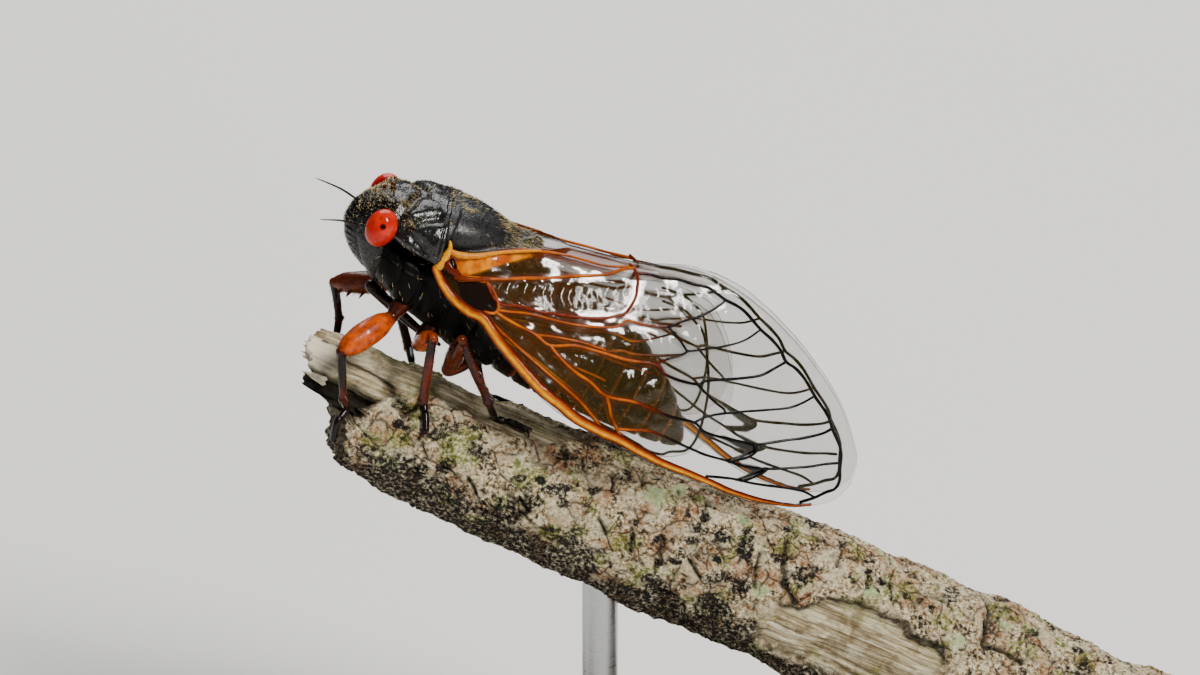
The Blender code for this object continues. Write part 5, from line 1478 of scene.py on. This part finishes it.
# Gold patches, read off the photo in its pixels, each with its reach in millimetres and its density
HEAD_GOLD = [((372, 197), 1.0, 1.0), ((384, 203), 0.7, 0.8), ((360, 204), 0.7, 0.7), ((352, 214), 0.6, 0.35),
             ((391, 252), 0.6, 1.3), ((399, 240), 0.4, 0.8), ((384, 190), 0.5, 1.0), ((398, 214), 0.35, 0.9)]
COLLAR_GOLD = [((404, 203), 0.5, 1.3), ((400, 212), 0.4, 1.2), ((407, 222), 0.45, 1.0),
               ((409, 257), 0.8, 0.45),
               ((415, 196), 0.4, 0.6), ((452, 205), 0.25, 0.7), ((450, 222), 0.25, 0.7),
               ((430, 191), 0.5, 0.3), ((418, 222), 0.5, 0.35), ((452, 197), 0.13, 2.5),
               ((453, 206), 0.13, 2.5), ((453, 215), 0.13, 2.5), ((451, 224), 0.13, 2.5),
               ((449, 234), 0.13, 2.5)]
SHIELD_GOLD = [((467, 209), 0.4, 1.2), ((475, 210), 0.35, 0.8), ((503, 218), 0.5, 1.0),
               ((509, 229), 0.5, 1.1),
               ((516, 242), 0.7, 1.4), ((526, 246), 0.7, 1.4), ((536, 247), 0.5, 1.2), ((500, 212), 0.5, 0.8),
               ((460, 195), 0.5, 0.5), ((480, 200), 0.5, 0.4), ((505, 249), 0.7, 0.7)]


def gold_density(node, patches, ground, line=None):
    """Density of the down: gold patches over a thin ground, and a line where there is one."""
    tree = BVHTree.FromBMesh(SHELLS[node])
    zones = [(mirrored(spot), reach, strength) for pixel, reach, strength in patches
             if (spot := seen_place(tree, pixel)) is not None]

    def density(spot):
        patch = sum(strength * math.exp(-((mirrored(spot) - one).length / reach) ** 2)
                    for one, reach, strength in zones)
        return ground + patch + (line(spot) if line else 0.0)
    return density


def crown_line(spot):
    """More down on the crown of the head."""
    return 0.22 * ease((spot.z - 2.4) / 0.6)


def shield_line(spot):
    """More down on the raised cross, and a little along the middle of the shield."""
    cross = 0.3 * ease((spot.x - 2.3) / 0.6) * ease((spot.z - 2.6) / 0.5)
    return cross + 0.08 * math.exp(-(spot.y / 0.2) ** 2) * ease((spot.z - 3.8) / 0.3)


def evenly(spot):
    """The same density of down everywhere."""
    return 1.0


make_down("cicada_head_down", "head", 800, 11, gold_density("head", HEAD_GOLD, 0.012, crown_line),
          lambda spot: Vector((0.6, math.copysign(0.5, spot.y), 0.4)), 0.2, 0.018, 30.0)
make_down("cicada_pronotum_down", "pronotum", 650, 12, gold_density("pronotum", COLLAR_GOLD, 0.02),
          lambda spot: Vector((1.0, 0.5 * math.copysign(1.0, spot.y), -0.3)), 0.32, 0.014, 22.0)
make_down("cicada_mesonotum_down", "mesonotum", 1000, 13,
          gold_density("mesonotum", SHIELD_GOLD, 0.015, shield_line),
          lambda spot: Vector((1.0, 0.25 * math.copysign(1.0, spot.y), -0.4)), 0.36, 0.014, 24.0)
make_down("cicada_thorax_down", "thorax", 280, 14, evenly, lambda spot: Vector((0.9, 0.0, -0.7)),
          0.44, 0.01, 34.0)
make_down("cicada_abdomen_down", "abdomen", 800, 15, evenly, lambda spot: Vector((1.0, 0.0, 0.0)),
          0.32, 0.013, 20.0, GOLD, "dark_shell")
# Close black stubble gives the shells their velvet sheen
for node, seed in (("head", 21), ("pronotum", 22), ("mesonotum", 23)):
    make_down(f"cicada_{node}_stubble", node, 9000, seed, lambda spot: 1.0 if spot.z > -1.0 else 0.3,
              lambda spot: Vector((1.0, 0.0, -0.3)), 0.16, 0.012, 30.0, BRISTLE)


# Legs

def outward(place, side):
    """Leg place given with its outward distance, in the insect's frame."""
    return Vector((place[0], side * place[1], place[2]))


def thorax_point(x, turn):
    """Point of the thorax skin at a station, as the solid has it."""
    top = straight(THORAX_TOP, x)
    low = curve(THORAX_BELLY, x)
    width = curve(THORAX_WIDTH, x)
    z = (top + low) / 2 + (top - low) / 2 * power(math.cos(turn), 0.7)
    front = head_rear(z) + GAP
    share = (x - THORAX_FRONT) / (THORAX_TAIL - THORAX_FRONT)
    place = front + share * (THORAX_TAIL - front)
    return Vector((place, body_limit(place, z, width) * power(math.sin(turn), 0.8), z))


def leg_root(plan):
    """Place on the thorax skin where a coxa starts, and its outward direction."""
    x, turn = plan["root"]
    turn = math.radians(turn)
    skin = thorax_point(x, turn)
    ahead = thorax_point(x + 0.1, turn) - thorax_point(x - 0.1, turn)
    around = thorax_point(x, turn + 0.05) - thorax_point(x, turn - 0.05)
    normal = ahead.cross(around).normalized()
    if normal.dot(skin - Vector((x, 0.0, -2.0))) < 0.0:
        normal.negate()
    return outward(skin - normal * 0.3, plan["side"]), outward(normal, plan["side"])


def square_to(direction, axis):
    """Part of a direction square to an axis."""
    return (direction - axis * direction.dot(axis)).normalized()


def limb_bristles(route, radii, seed, count, length, half, toward=None):
    """Bristles along a limb, all round it or on one side."""
    draw = np.random.default_rng(seed)
    for _ in range(count):
        index = int(draw.integers(1, len(route) - 2))
        axis = (route[index + 1] - route[index - 1]).normalized()
        if toward is None:
            away = square_to(Vector(draw.normal(0.0, 1.0, 3)), axis)
        else:
            away = square_to(toward + Vector(draw.normal(0.0, 0.25, 3)), axis)
        spot = route[index].lerp(route[index + 1], draw.random()) + away * radii[index] * 0.93
        tip = spot + (away * 0.8 + axis * 0.75).normalized() * length * draw.uniform(0.6, 1.3)
        bristle_row(spot, tip, half)


def claw(foot, ahead, down, across, swing):
    """Curved claw that hooks down into the bark."""
    bend = (ahead + across * swing * 0.7).normalized()
    corners = [foot, foot + bend * CLAW_LENGTH * 0.5 + down * 0.02,
               foot + bend * CLAW_LENGTH * 0.75 + down * 0.4]
    route = smooth_path(corners, 5)
    return tube(route, spread([0.13, 0.11, 0.02], len(route)), 10, 2)


def make_leg(word, plan, seed):
    """Coxa, trochanter and thigh; shin; foot of three joints; two claws."""
    side = plan["side"]
    front = word.startswith("front")
    hind = word.startswith("hind")
    # Painted shade: the right legs and the hind left thigh are darkened as if in shadow.
    shade = 0.72 if side > 0 else (0.8 if hind else 0.0)
    root, normal = leg_root(plan)
    hip = outward(plan["hip"], side)
    knee = outward(plan["knee"], side)
    ankle = outward(plan["ankle"], side)
    thick = plan["femur"]
    thigh = (knee - hip).normalized()
    femur_length = (knee - hip).length

    corners = [root, root + normal * 0.85, hip]
    corners += [hip.lerp(knee, share) for share in (0.2, 0.5, 0.8, 0.95)] + [knee]
    route = smooth_path(corners, 8)
    halves = [0.74, 0.68, 0.52, 0.86 * thick, thick, 0.88 * thick, 0.55 * thick + 0.05, 0.42]
    radii = spread(halves, len(route))
    femur = tube(route, radii, 36, 4)
    below = square_to(Vector((-0.5, -0.25 * side, -0.8)), thigh)
    if front:
        thorns = []
        for share, length in ((0.42, 0.9), (0.66, 0.74), (0.84, 0.6)):
            foot = hip.lerp(knee, share) + below * thick * 0.62
            tip = foot + (below + thigh * 0.45) * length
            thorns.append(tube(smooth_path([foot, foot.lerp(tip, 0.5), tip], 3),
                               spread([0.22, 0.13, 0.02], 7), 12, 2))
        femur = merge([femur, *thorns])

    def femur_dusk(spot):
        away = spot - hip
        share = away.dot(thigh) / femur_length
        root_dark = 1.0 - ease((share + 0.02) / 0.16)
        knee_dark = ease((share - 0.9) / 0.12)
        outside = (away - thigh * away.dot(thigh)).dot(below)
        thorn = ease((outside - thick * 0.75) / 0.3) if front else 0.0
        streak = 0.12 * grain(spot, 0.8, 2, 3.0)
        return min(1.0, max(0.95 * root_dark, 0.5 * knee_dark, 0.8 * thorn, shade) + streak)

    tone(femur, "dusk", femur_dusk)
    emboss(femur, lambda spot, normal: 0.03 * grain(spot, 1.1, 2, 2.0) + 0.008 * grain(spot, 5.0, 2))
    settle(f"cicada_{word}_femur", femur, ORANGE, "leg_orange", [f"leg_{word}_femur"])
    inner = len(route) // 3
    limb_bristles(route[inner:], radii[inner:], seed, 60, 0.3, 0.03, below + Vector((0.0, side * 0.8, 0.0)))
    limb_bristles(route[inner:], radii[inner:], seed + 1, 60, 0.22, 0.012)

    shin = (ankle - knee).normalized()
    shin_length = (ankle - knee).length
    start = knee + shin * 0.05
    bow = Vector((0.0, side * 0.15, 0.0))
    thin = plan["tibia"]
    corners = [start, start.lerp(ankle, 0.12), start.lerp(ankle, 0.5) + bow, start.lerp(ankle, 0.88), ankle]
    route = smooth_path(corners, 8)
    radii = spread([0.44, 0.36, 0.9 * thin, 0.86 * thin, 1.08 * thin], len(route))
    tibia = tube(route, radii, 24, 4)
    spurs = []
    away = square_to(Vector((0.5, side * 0.6, 0.3)), shin)
    for share in ((0.45, 0.68, 0.9) if hind else (0.93,)):
        foot = start.lerp(ankle, share) + bow * 0.5 + away * thin * 0.4
        tip = foot + (away + shin * 0.8) * (0.62 if hind else 0.4)
        spurs.append(tube(smooth_path([foot, tip], 4), spread([0.13, 0.09, 0.02], 5), 10, 2))
    tibia = merge([tibia, *spurs])
    shades = [(0.0, 0.6), (0.12, 0.92), (0.45, 0.93), (0.7, 0.75), (0.85, 0.35), (1.0, 0.55)]
    if word.startswith("middle"):
        shades = [(0.0, 0.5), (0.1, 0.9), (0.22, 0.85), (0.4, 0.3), (0.75, 0.15), (1.0, 0.5)]
    if hind:
        shades = [(0.0, 0.5), (0.12, 0.85), (0.4, 0.6), (0.8, 0.5), (1.0, 0.7)]
    # The right shins are darkened as painted shade.
    tone(tibia, "dusk", lambda spot: max(curve(shades, (spot - knee).dot(shin) / shin_length),
                                         0.8 if side > 0 else 0.0))
    emboss(tibia, lambda spot, normal: 0.018 * grain(spot, 2.2, 2, 4.0))
    settle(f"cicada_{word}_tibia", tibia, DARK, "leg_dark", [f"leg_{word}_tibia"])
    limb_bristles(route, radii, seed + 2, 90, 0.26, 0.013)

    toes = [TO_INSECT @ stick_point(station, angle, TARSUS_LIFT) for station, angle in plan["toes"]]
    route = smooth_path([ankle, *toes], 9)
    count = len(route)
    radii = []
    for index in range(count):
        share = index / (count - 1)
        pinch = min(abs(share - 0.3), abs(share - 0.55))
        radii.append(TARSUS_RADIUS * (1.0 - 0.26 * math.exp(-(pinch / 0.03) ** 2)) * (1.02 - 0.14 * share))
    tarsus = tube(route, radii, 20, 4)
    toe = toes[-1]
    tone(tarsus, "dusk", lambda spot: 0.55 + 0.42 * ease((ankle - spot).length / 1.4))
    settle(f"cicada_{word}_tarsus", tarsus, DARK, "leg_dark", [f"leg_{word}_tarsus"])
    limb_bristles(route, radii, seed + 3, 36, 0.2, 0.012)

    ahead = (toe - toes[-2]).normalized()
    above = ((TO_INSECT @ stick_point(*plan["toes"][-1], TARSUS_LIFT + 1.0)) - toe).normalized()
    across = ahead.cross(above).normalized()
    claws = merge([claw(toe, ahead, -above, across, swing) for swing in (-1, 1)])
    tone(claws, "dusk", lambda spot: 0.85)
    settle(f"cicada_{word}_claws", claws, DARK, "leg_dark")


for index, (word, plan) in enumerate(LEGS.items()):
    make_leg(word, plan, 100 + 10 * index)
bristle_map = [((index * 0.618) % 1.0, (index * 0.414) % 1.0) for index in range(len(bristle_lines))]
grow("cicada_leg_bristles", *zip(*bristle_lines), bristle_map, BRISTLE, "leg_dark")


# Wings

def wing_spot(x, z, side, depth, lift=0.0):
    """Place on a wing, that far in from the fore wing's surface."""
    normal = wing_normal(x, z)
    spot = Vector((x, wing_side(x, z), z)) + normal * (lift - depth)
    return Vector((spot.x, side * spot.y, spot.z))


def vein_routes(veins, depth):
    """Veins as smooth lines of (x, z) on the wing."""
    found = {}
    for word, (pixels, half) in veins.items():
        corners = [(*on_wing(px, py, depth), 0.0) for px, py in pixels]
        found[word] = ([(spot.x, spot.y) for spot in smooth_path(corners, 4)], half)
    return found


def to_segments(routes):
    """Ends of all the straight pieces of the veins, as arrays."""
    starts = []
    ends = []
    for line in routes:
        starts += line[:-1]
        ends += line[1:]
    return np.array(starts), np.array(ends)


def vein_distance(segments, x, z):
    """Distance from a place on the wing to the nearest vein."""
    starts, ends = segments
    ahead = ends - starts
    away = np.array((x, z)) - starts
    share = np.clip((away * ahead).sum(1) / np.maximum((ahead * ahead).sum(1), 1e-9), 0.0, 1.0)
    gap = away - ahead * share[:, None]
    return float(np.sqrt((gap * gap).sum(1).min()))


FORE_ROUTES = vein_routes(FORE_VEINS, 0.0)
HIND_ROUTES = vein_routes(HIND_VEINS, WING_SPACING)
COSTA_ROUTE = [(spot.x, spot.y) for spot in smooth_path([(*on_wing(px, py), 0.0) for px, py in COSTA], 5)]
fore_segments = to_segments([line for line, _ in FORE_ROUTES.values()] + [COSTA_ROUTE])
hind_segments = to_segments([line for line, _ in HIND_ROUTES.values()])

# Read off the photo in its pixels: black strokes on the veins with their reach in millimetres, the pleated
# cell, the orange wedge and the dark cell by the body, and blisters with their reach in millimetres
CLOUDS = [[((722, 437), 0.12), ((738, 444), 0.26), ((752, 448), 0.4), ((747, 456), 0.28), ((730, 461), 0.15)],
          [((742, 465), 0.12), ((757, 470), 0.3), ((750, 477), 0.28), ((737, 480), 0.12)]]
PLEATED_CELL = [(497, 291), (560, 297), (630, 294)]
PLEATS_PER_MM = 0.73
PLEAT_HEIGHT = 0.2
FILM_COLUMNS = 250
FILM_ROWS = 92
FILM_THICK = 0.05
WEDGE = [((452, 264), 0.7), ((462, 267), 0.75), ((480, 264), 0.58), ((500, 260), 0.36), ((530, 255.5), 0.1)]
DARK_CELL = [((464, 284), 0.6), ((470, 290), 0.9), ((478, 297), 1.0), ((486, 304), 0.9), ((490, 308), 0.7)]
BLISTERS = [((664, 314), 0.9), ((656, 310), 0.6), ((715, 314), 0.6), ((728, 315), 0.7), ((738, 300), 0.5),
            ((748, 306), 0.5), ((761, 321), 0.5), ((650, 345), 0.6), ((670, 344), 0.5), ((690, 346), 0.6),
            ((704, 342), 0.5), ((755, 347), 0.4), ((781, 379), 0.4), ((654, 388), 0.55), ((642, 376), 0.5),
            ((675, 386), 0.45), ((667, 405), 0.45), ((640, 392), 0.5), ((628, 380), 0.5), ((700, 330), 0.4),
            ((714, 296), 0.4), ((693, 290), 0.4), ((655, 290), 0.5)]
cloud_places = [[(*on_wing(*pixel), reach) for pixel, reach in cloud] for cloud in CLOUDS]
pleat_line = [on_wing(*pixel) for pixel in PLEATED_CELL]
wedge_places = [(*on_wing(*pixel), reach) for pixel, reach in WEDGE]
dark_places = [(*on_wing(*pixel), reach) for pixel, reach in DARK_CELL]
blister_places = [(*on_wing(*pixel), reach) for pixel, reach in BLISTERS]


def spots_cover(x, z, places, edge):
    """How far a place on the wing lies inside the nearest of some round spots, from 0 to 1."""
    return max(ease((reach - math.hypot(x - px, z - pz)) / edge + 0.5) for px, pz, reach in places)


def strip_cover(x, z, places, edge):
    """How far a place on the wing lies inside a tapering strip, from 0 to 1."""
    best = 0.0
    for (ax, az, one), (bx, bz, other) in zip(places, places[1:]):
        share = ((x - ax) * (bx - ax) + (z - az) * (bz - az)) / ((bx - ax) ** 2 + (bz - az) ** 2)
        share = min(1.0, max(0.0, share))
        gap = math.hypot(x - ax - (bx - ax) * share, z - az - (bz - az) * share)
        best = max(best, ease((one + (other - one) * share - gap) / edge + 0.5))
    return best


def fore_film(x, z, near):
    """Pucker in millimetres, amber tint, smoke and solid colour of the fore wing's film."""
    puff = ease(near / 0.7)
    spot = Vector((x, z, 0.0))
    ripple = puff * (0.12 * grain(spot, 0.42, 3, 5.0) + 0.03 * grain(spot, 1.4, 2, 2.0))
    along = (x - pleat_line[0][0]) / (pleat_line[2][0] - pleat_line[0][0])
    middle = straight([(px, pz) for px, pz in pleat_line], x)
    inside = ease((0.95 - abs(z - middle)) / 0.35) * ease(along / 0.04 + 0.3) * ease((1.0 - along) / 0.12)
    level = x * math.cos(PITCH) + z * math.sin(PITCH)
    wave = math.sin(2 * math.pi * (level * PLEATS_PER_MM + 0.14 * math.cos(3.2 * (z - middle))))
    ripple = ripple * (1.0 - 0.8 * inside) + PLEAT_HEIGHT * inside * wave
    for px, pz, reach in blister_places:
        away = math.hypot(x - px, z - pz) / reach
        if away < 2.5:
            ripple += 0.3 * reach * math.exp(-away * away) * puff
    haze = 1.0 - ease((x - 7.0) / 9.0)
    hem = ease((0.9 - (curve(INNER_EDGE, x) - z)) / 0.5) * ease((x - 1.0) / 3.0)
    hem *= 1.0 - ease((x - 8.5) / 3.5)
    fringe = ease((0.5 - near) / 0.5) * (1.0 - ease((x - 12.0) / 9.0))
    amber = max(0.4 * haze * ease(0.5 * grain(spot, 0.35, 2, 7.0) + 0.5), 0.75 * fringe, hem)
    smoke = max(0.95 * max(strip_cover(x, z, cloud, 0.22) for cloud in cloud_places),
                0.93 * spots_cover(x, z, dark_places, 0.2))
    solid = strip_cover(x, z, wedge_places, 0.3)
    return ripple, amber, smoke * (1.0 - solid), solid


def hind_film(x, z, near):
    """The same of the hind wing, which is clear and faintly amber by the body."""
    ripple = ease(near / 0.8) * 0.1 * grain((x, z, 4.0), 0.5, 3, 9.0)
    return ripple, 0.16 * (1.0 - ease((x - 5.0) / 9.0)), 0.0, 0.0


def make_film(name, side, lower, upper, depth, segments, film, replaced):
    """Membrane between the wing's two edges, as a thin closed sheet."""
    first = max(lower[0][0], upper[0][0])
    last = lower[-1][0] - 0.02
    work = bmesh.new()
    bmesh.ops.create_grid(work, x_segments=FILM_COLUMNS, y_segments=FILM_ROWS, size=0.5)
    layers = [work.verts.layers.float.new(word) for word in ("amber", "smoke", "solid")]
    for vert in work.verts:
        share = vert.co.x + 0.5
        x = first + (last - first) * (1.0 - (1.0 - share) ** 1.5)
        vert_share = vert.co.y + 0.5
        low = curve(lower, x)
        z = low + (curve(upper, x) - low) * vert_share
        near = vein_distance(segments, x, z)
        ripple, amber, smoke, solid = film(x, z, near)
        vert.co = wing_spot(x, z, side, depth, ripple)
        if not depth:
            # The inner margin folds in over the back, where the two wings all but meet
            fold = ease((vert_share - 0.94) / 0.06) * ease((x - 4.6) / 1.6) * (1.0 - ease((x - 13.0) / 5.0))
            vert.co.y -= side * fold * max(0.0, abs(vert.co.y) - 0.15)
        rim = min(share, 1.0 - share, 0.5 - abs(vert_share - 0.5))
        smoke = max(smoke, 0.5 * (1.0 - ease(rim / 0.016)))
        for layer, value in zip(layers, (amber, smoke, solid)):
            vert[layer] = value
    bmesh.ops.recalc_face_normals(work, faces=work.faces)
    bmesh.ops.solidify(work, geom=work.faces[:], thickness=FILM_THICK)
    bmesh.ops.recalc_face_normals(work, faces=work.faces)
    settle(name, work, FILM, "wing_membrane", replaced)


def vein_dusk(x, z, word, hind):
    """Darkness of a vein: orange by the body, black towards the tip and round the rim."""
    if word in ("suture", "claval_tip"):
        return 0.42
    if word == "ambient" or (word == "costa" and hind):
        return 0.95 * ease((x - 8.0) / 6.0)
    if word == "subcosta" or word.startswith("cross_l"):
        return 1.0
    outer = ease((x - 13.5 + 0.5 * z) / 6.0)
    return outer * 0.97 + (0.28 + 0.16 * grain((x, z, 3.0), 0.6, 2)) * (1.0 - outer)


def make_veins(name, side, routes, depth, costa=None):
    """Veins as round tubes on the membrane."""
    parts = []
    for word, (line, half) in routes.items():
        route = [wing_spot(x, z, side, depth, 0.03) for x, z in line]
        radii = [half * (1.0 + 0.06 * math.sin(0.9 * index)) for index in range(len(route))]
        part = tube(route, radii, 8, 1)
        tone(part, "dusk", lambda spot: vein_dusk(spot.x, spot.z, word, depth > 0.0))
        parts.append(part)
    if costa:
        route = [wing_spot(x, z, side, depth, 0.1) for x, z in costa]
        radii = [curve(COSTA_HALF, index / (len(route) - 1)) for index in range(len(route))]
        part = tube(route, radii, 24, 3, 0.8, lambda spot: Vector((0.0, side, 0.0)))
        across = part.verts.layers.float["across"]
        layer = part.verts.layers.float.new("dusk")
        for vert in part.verts:
            # Darker sides round a golden ridge: partly the costa's own colour, partly painted shade on its
            # rounded sides and a painted highlight along its ridge.
            edge = abs(math.sin(2 * math.pi * vert[across]))
            vert[layer] = 0.56 * edge ** 1.15 + 0.25 * ease((vert.co.x - 22.0) / 10.0)
        emboss(part, lambda spot, normal: 0.035 * grain(spot, 2.4, 2, 6.0))
        parts.append(part)
    settle(name, merge(parts), VEIN, "wing_membrane")


# Wing hinge, read off the photo in its pixels: each strut's places, its half widths and its darkness
HINGE_STRUTS = [
    ([(450, 241), (450, 248), (445, 257), (439, 266)], [0.07, 0.2, 0.32, 0.34], 0.05),
    ([(450, 250), (460, 255), (478, 256), (500, 253), (540, 251)], [0.18, 0.26, 0.22, 0.14, 0.09], 0.12),
    ([(447, 262), (451, 268), (458, 275)], [0.3, 0.42, 0.26], 0.5),
    ([(452, 261), (453, 267), (455, 273)], [0.22, 0.36, 0.2], 1.0),
    ([(456, 277), (468, 279), (489, 280)], [0.22, 0.2, 0.14], 0.4),
]


def make_hinge(word, side):
    """Hinge plates of the fore wing: orange struts round a glossy black knob."""
    parts = []
    for pixels, halves, dusk in HINGE_STRUTS:
        route = smooth_path([wing_spot(*on_wing(px, py), side, -0.12) for px, py in pixels], 5)
        part = tube(route, spread(halves, len(route)), 16, 4)
        tone(part, "dusk", lambda spot: dusk)
        emboss(part, lambda spot, normal: 0.03 * grain(spot, 1.8, 2, 4.0))
        parts.append(part)
    settle(f"cicada_forewing_{word}_hinge", merge(parts), VEIN, "leg_orange")


for word, side in (("left", -1), ("right", 1)):
    make_film(f"cicada_forewing_{word}_film", side, COSTAL_EDGE, INNER_EDGE, 0.0, fore_segments, fore_film,
              [f"forewing_{word}"])
    make_veins(f"cicada_forewing_{word}_veins", side, FORE_ROUTES, 0.0, COSTA_ROUTE)
    make_hinge(word, side)
    make_film(f"cicada_hindwing_{word}_film", side, HIND_LOWER, HIND_UPPER, WING_SPACING, hind_segments,
              hind_film, [f"hindwing_{word}"])
    make_veins(f"cicada_hindwing_{word}_veins", side, HIND_ROUTES, WING_SPACING)
for shell in SHELLS.values():
    shell.free()


# Stage, light and camera

def make_floor():
    """Pale paper under the model."""
    work = bmesh.new()
    bmesh.ops.create_grid(work, x_segments=2, y_segments=2, size=2.5)
    mesh = bpy.data.meshes.new("paper_floor")
    work.to_mesh(mesh)
    work.free()
    mesh.materials.append(PAPER)
    floor = bpy.data.objects.new("paper_floor", mesh)
    bpy.context.collection.objects.link(floor)


def make_lamp(name, place, aim, size, tall, watts, warmth):
    """Soft rectangular lamp, its places in metres."""
    data = bpy.data.lights.new(name, "AREA")
    data.shape = "RECTANGLE"
    data.size = size
    data.size_y = tall
    data.energy = watts
    data.color = warmth
    lamp = bpy.data.objects.new(name, data)
    bpy.context.collection.objects.link(lamp)
    lamp.location = place
    lamp.rotation_euler = (Vector(aim) - Vector(place)).to_track_quat("-Z", "Y").to_euler()


# Lamps: place, aim, width, height, watts and colour, in metres
LAMPS = {
    "key_lamp": ((0.27, -0.36, 0.49), AIM * MM, 0.08, 0.24, 5.6, (1.0, 0.97, 0.9)),
    "fill_lamp": ((-0.6, -0.5, 0.3), AIM * MM, 0.7, 0.7, 0.4, (0.93, 0.96, 1.0)),
    "floor_lamp": ((0.0, 0.42, 0.5), (0.0, 0.16, 0.0), 0.5, 0.5, 4.2, (1.0, 1.0, 1.0)),
}
SKY = (0.92, 0.95, 1.0, 1.0)
SKY_STRENGTH = 0.14

make_floor()
for name, plan in LAMPS.items():
    make_lamp(name, *plan)
world = bpy.data.worlds.new("studio")
bpy.context.scene.world = world
world.use_nodes = True
sky = world.node_tree.nodes["Background"].inputs
sky[0].default_value = SKY
sky[1].default_value = SKY_STRENGTH

camera_data = bpy.data.cameras.new("camera")
camera_data.lens = LENS
camera_data.sensor_width = SENSOR
camera_data.clip_start = 0.01
camera = bpy.data.objects.new("camera", camera_data)
bpy.context.collection.objects.link(camera)
camera.location = EYEPOINT * MM
camera.rotation_euler = (math.pi / 2 - LIFT, 0.0, 0.0)
bpy.context.scene.camera = camera
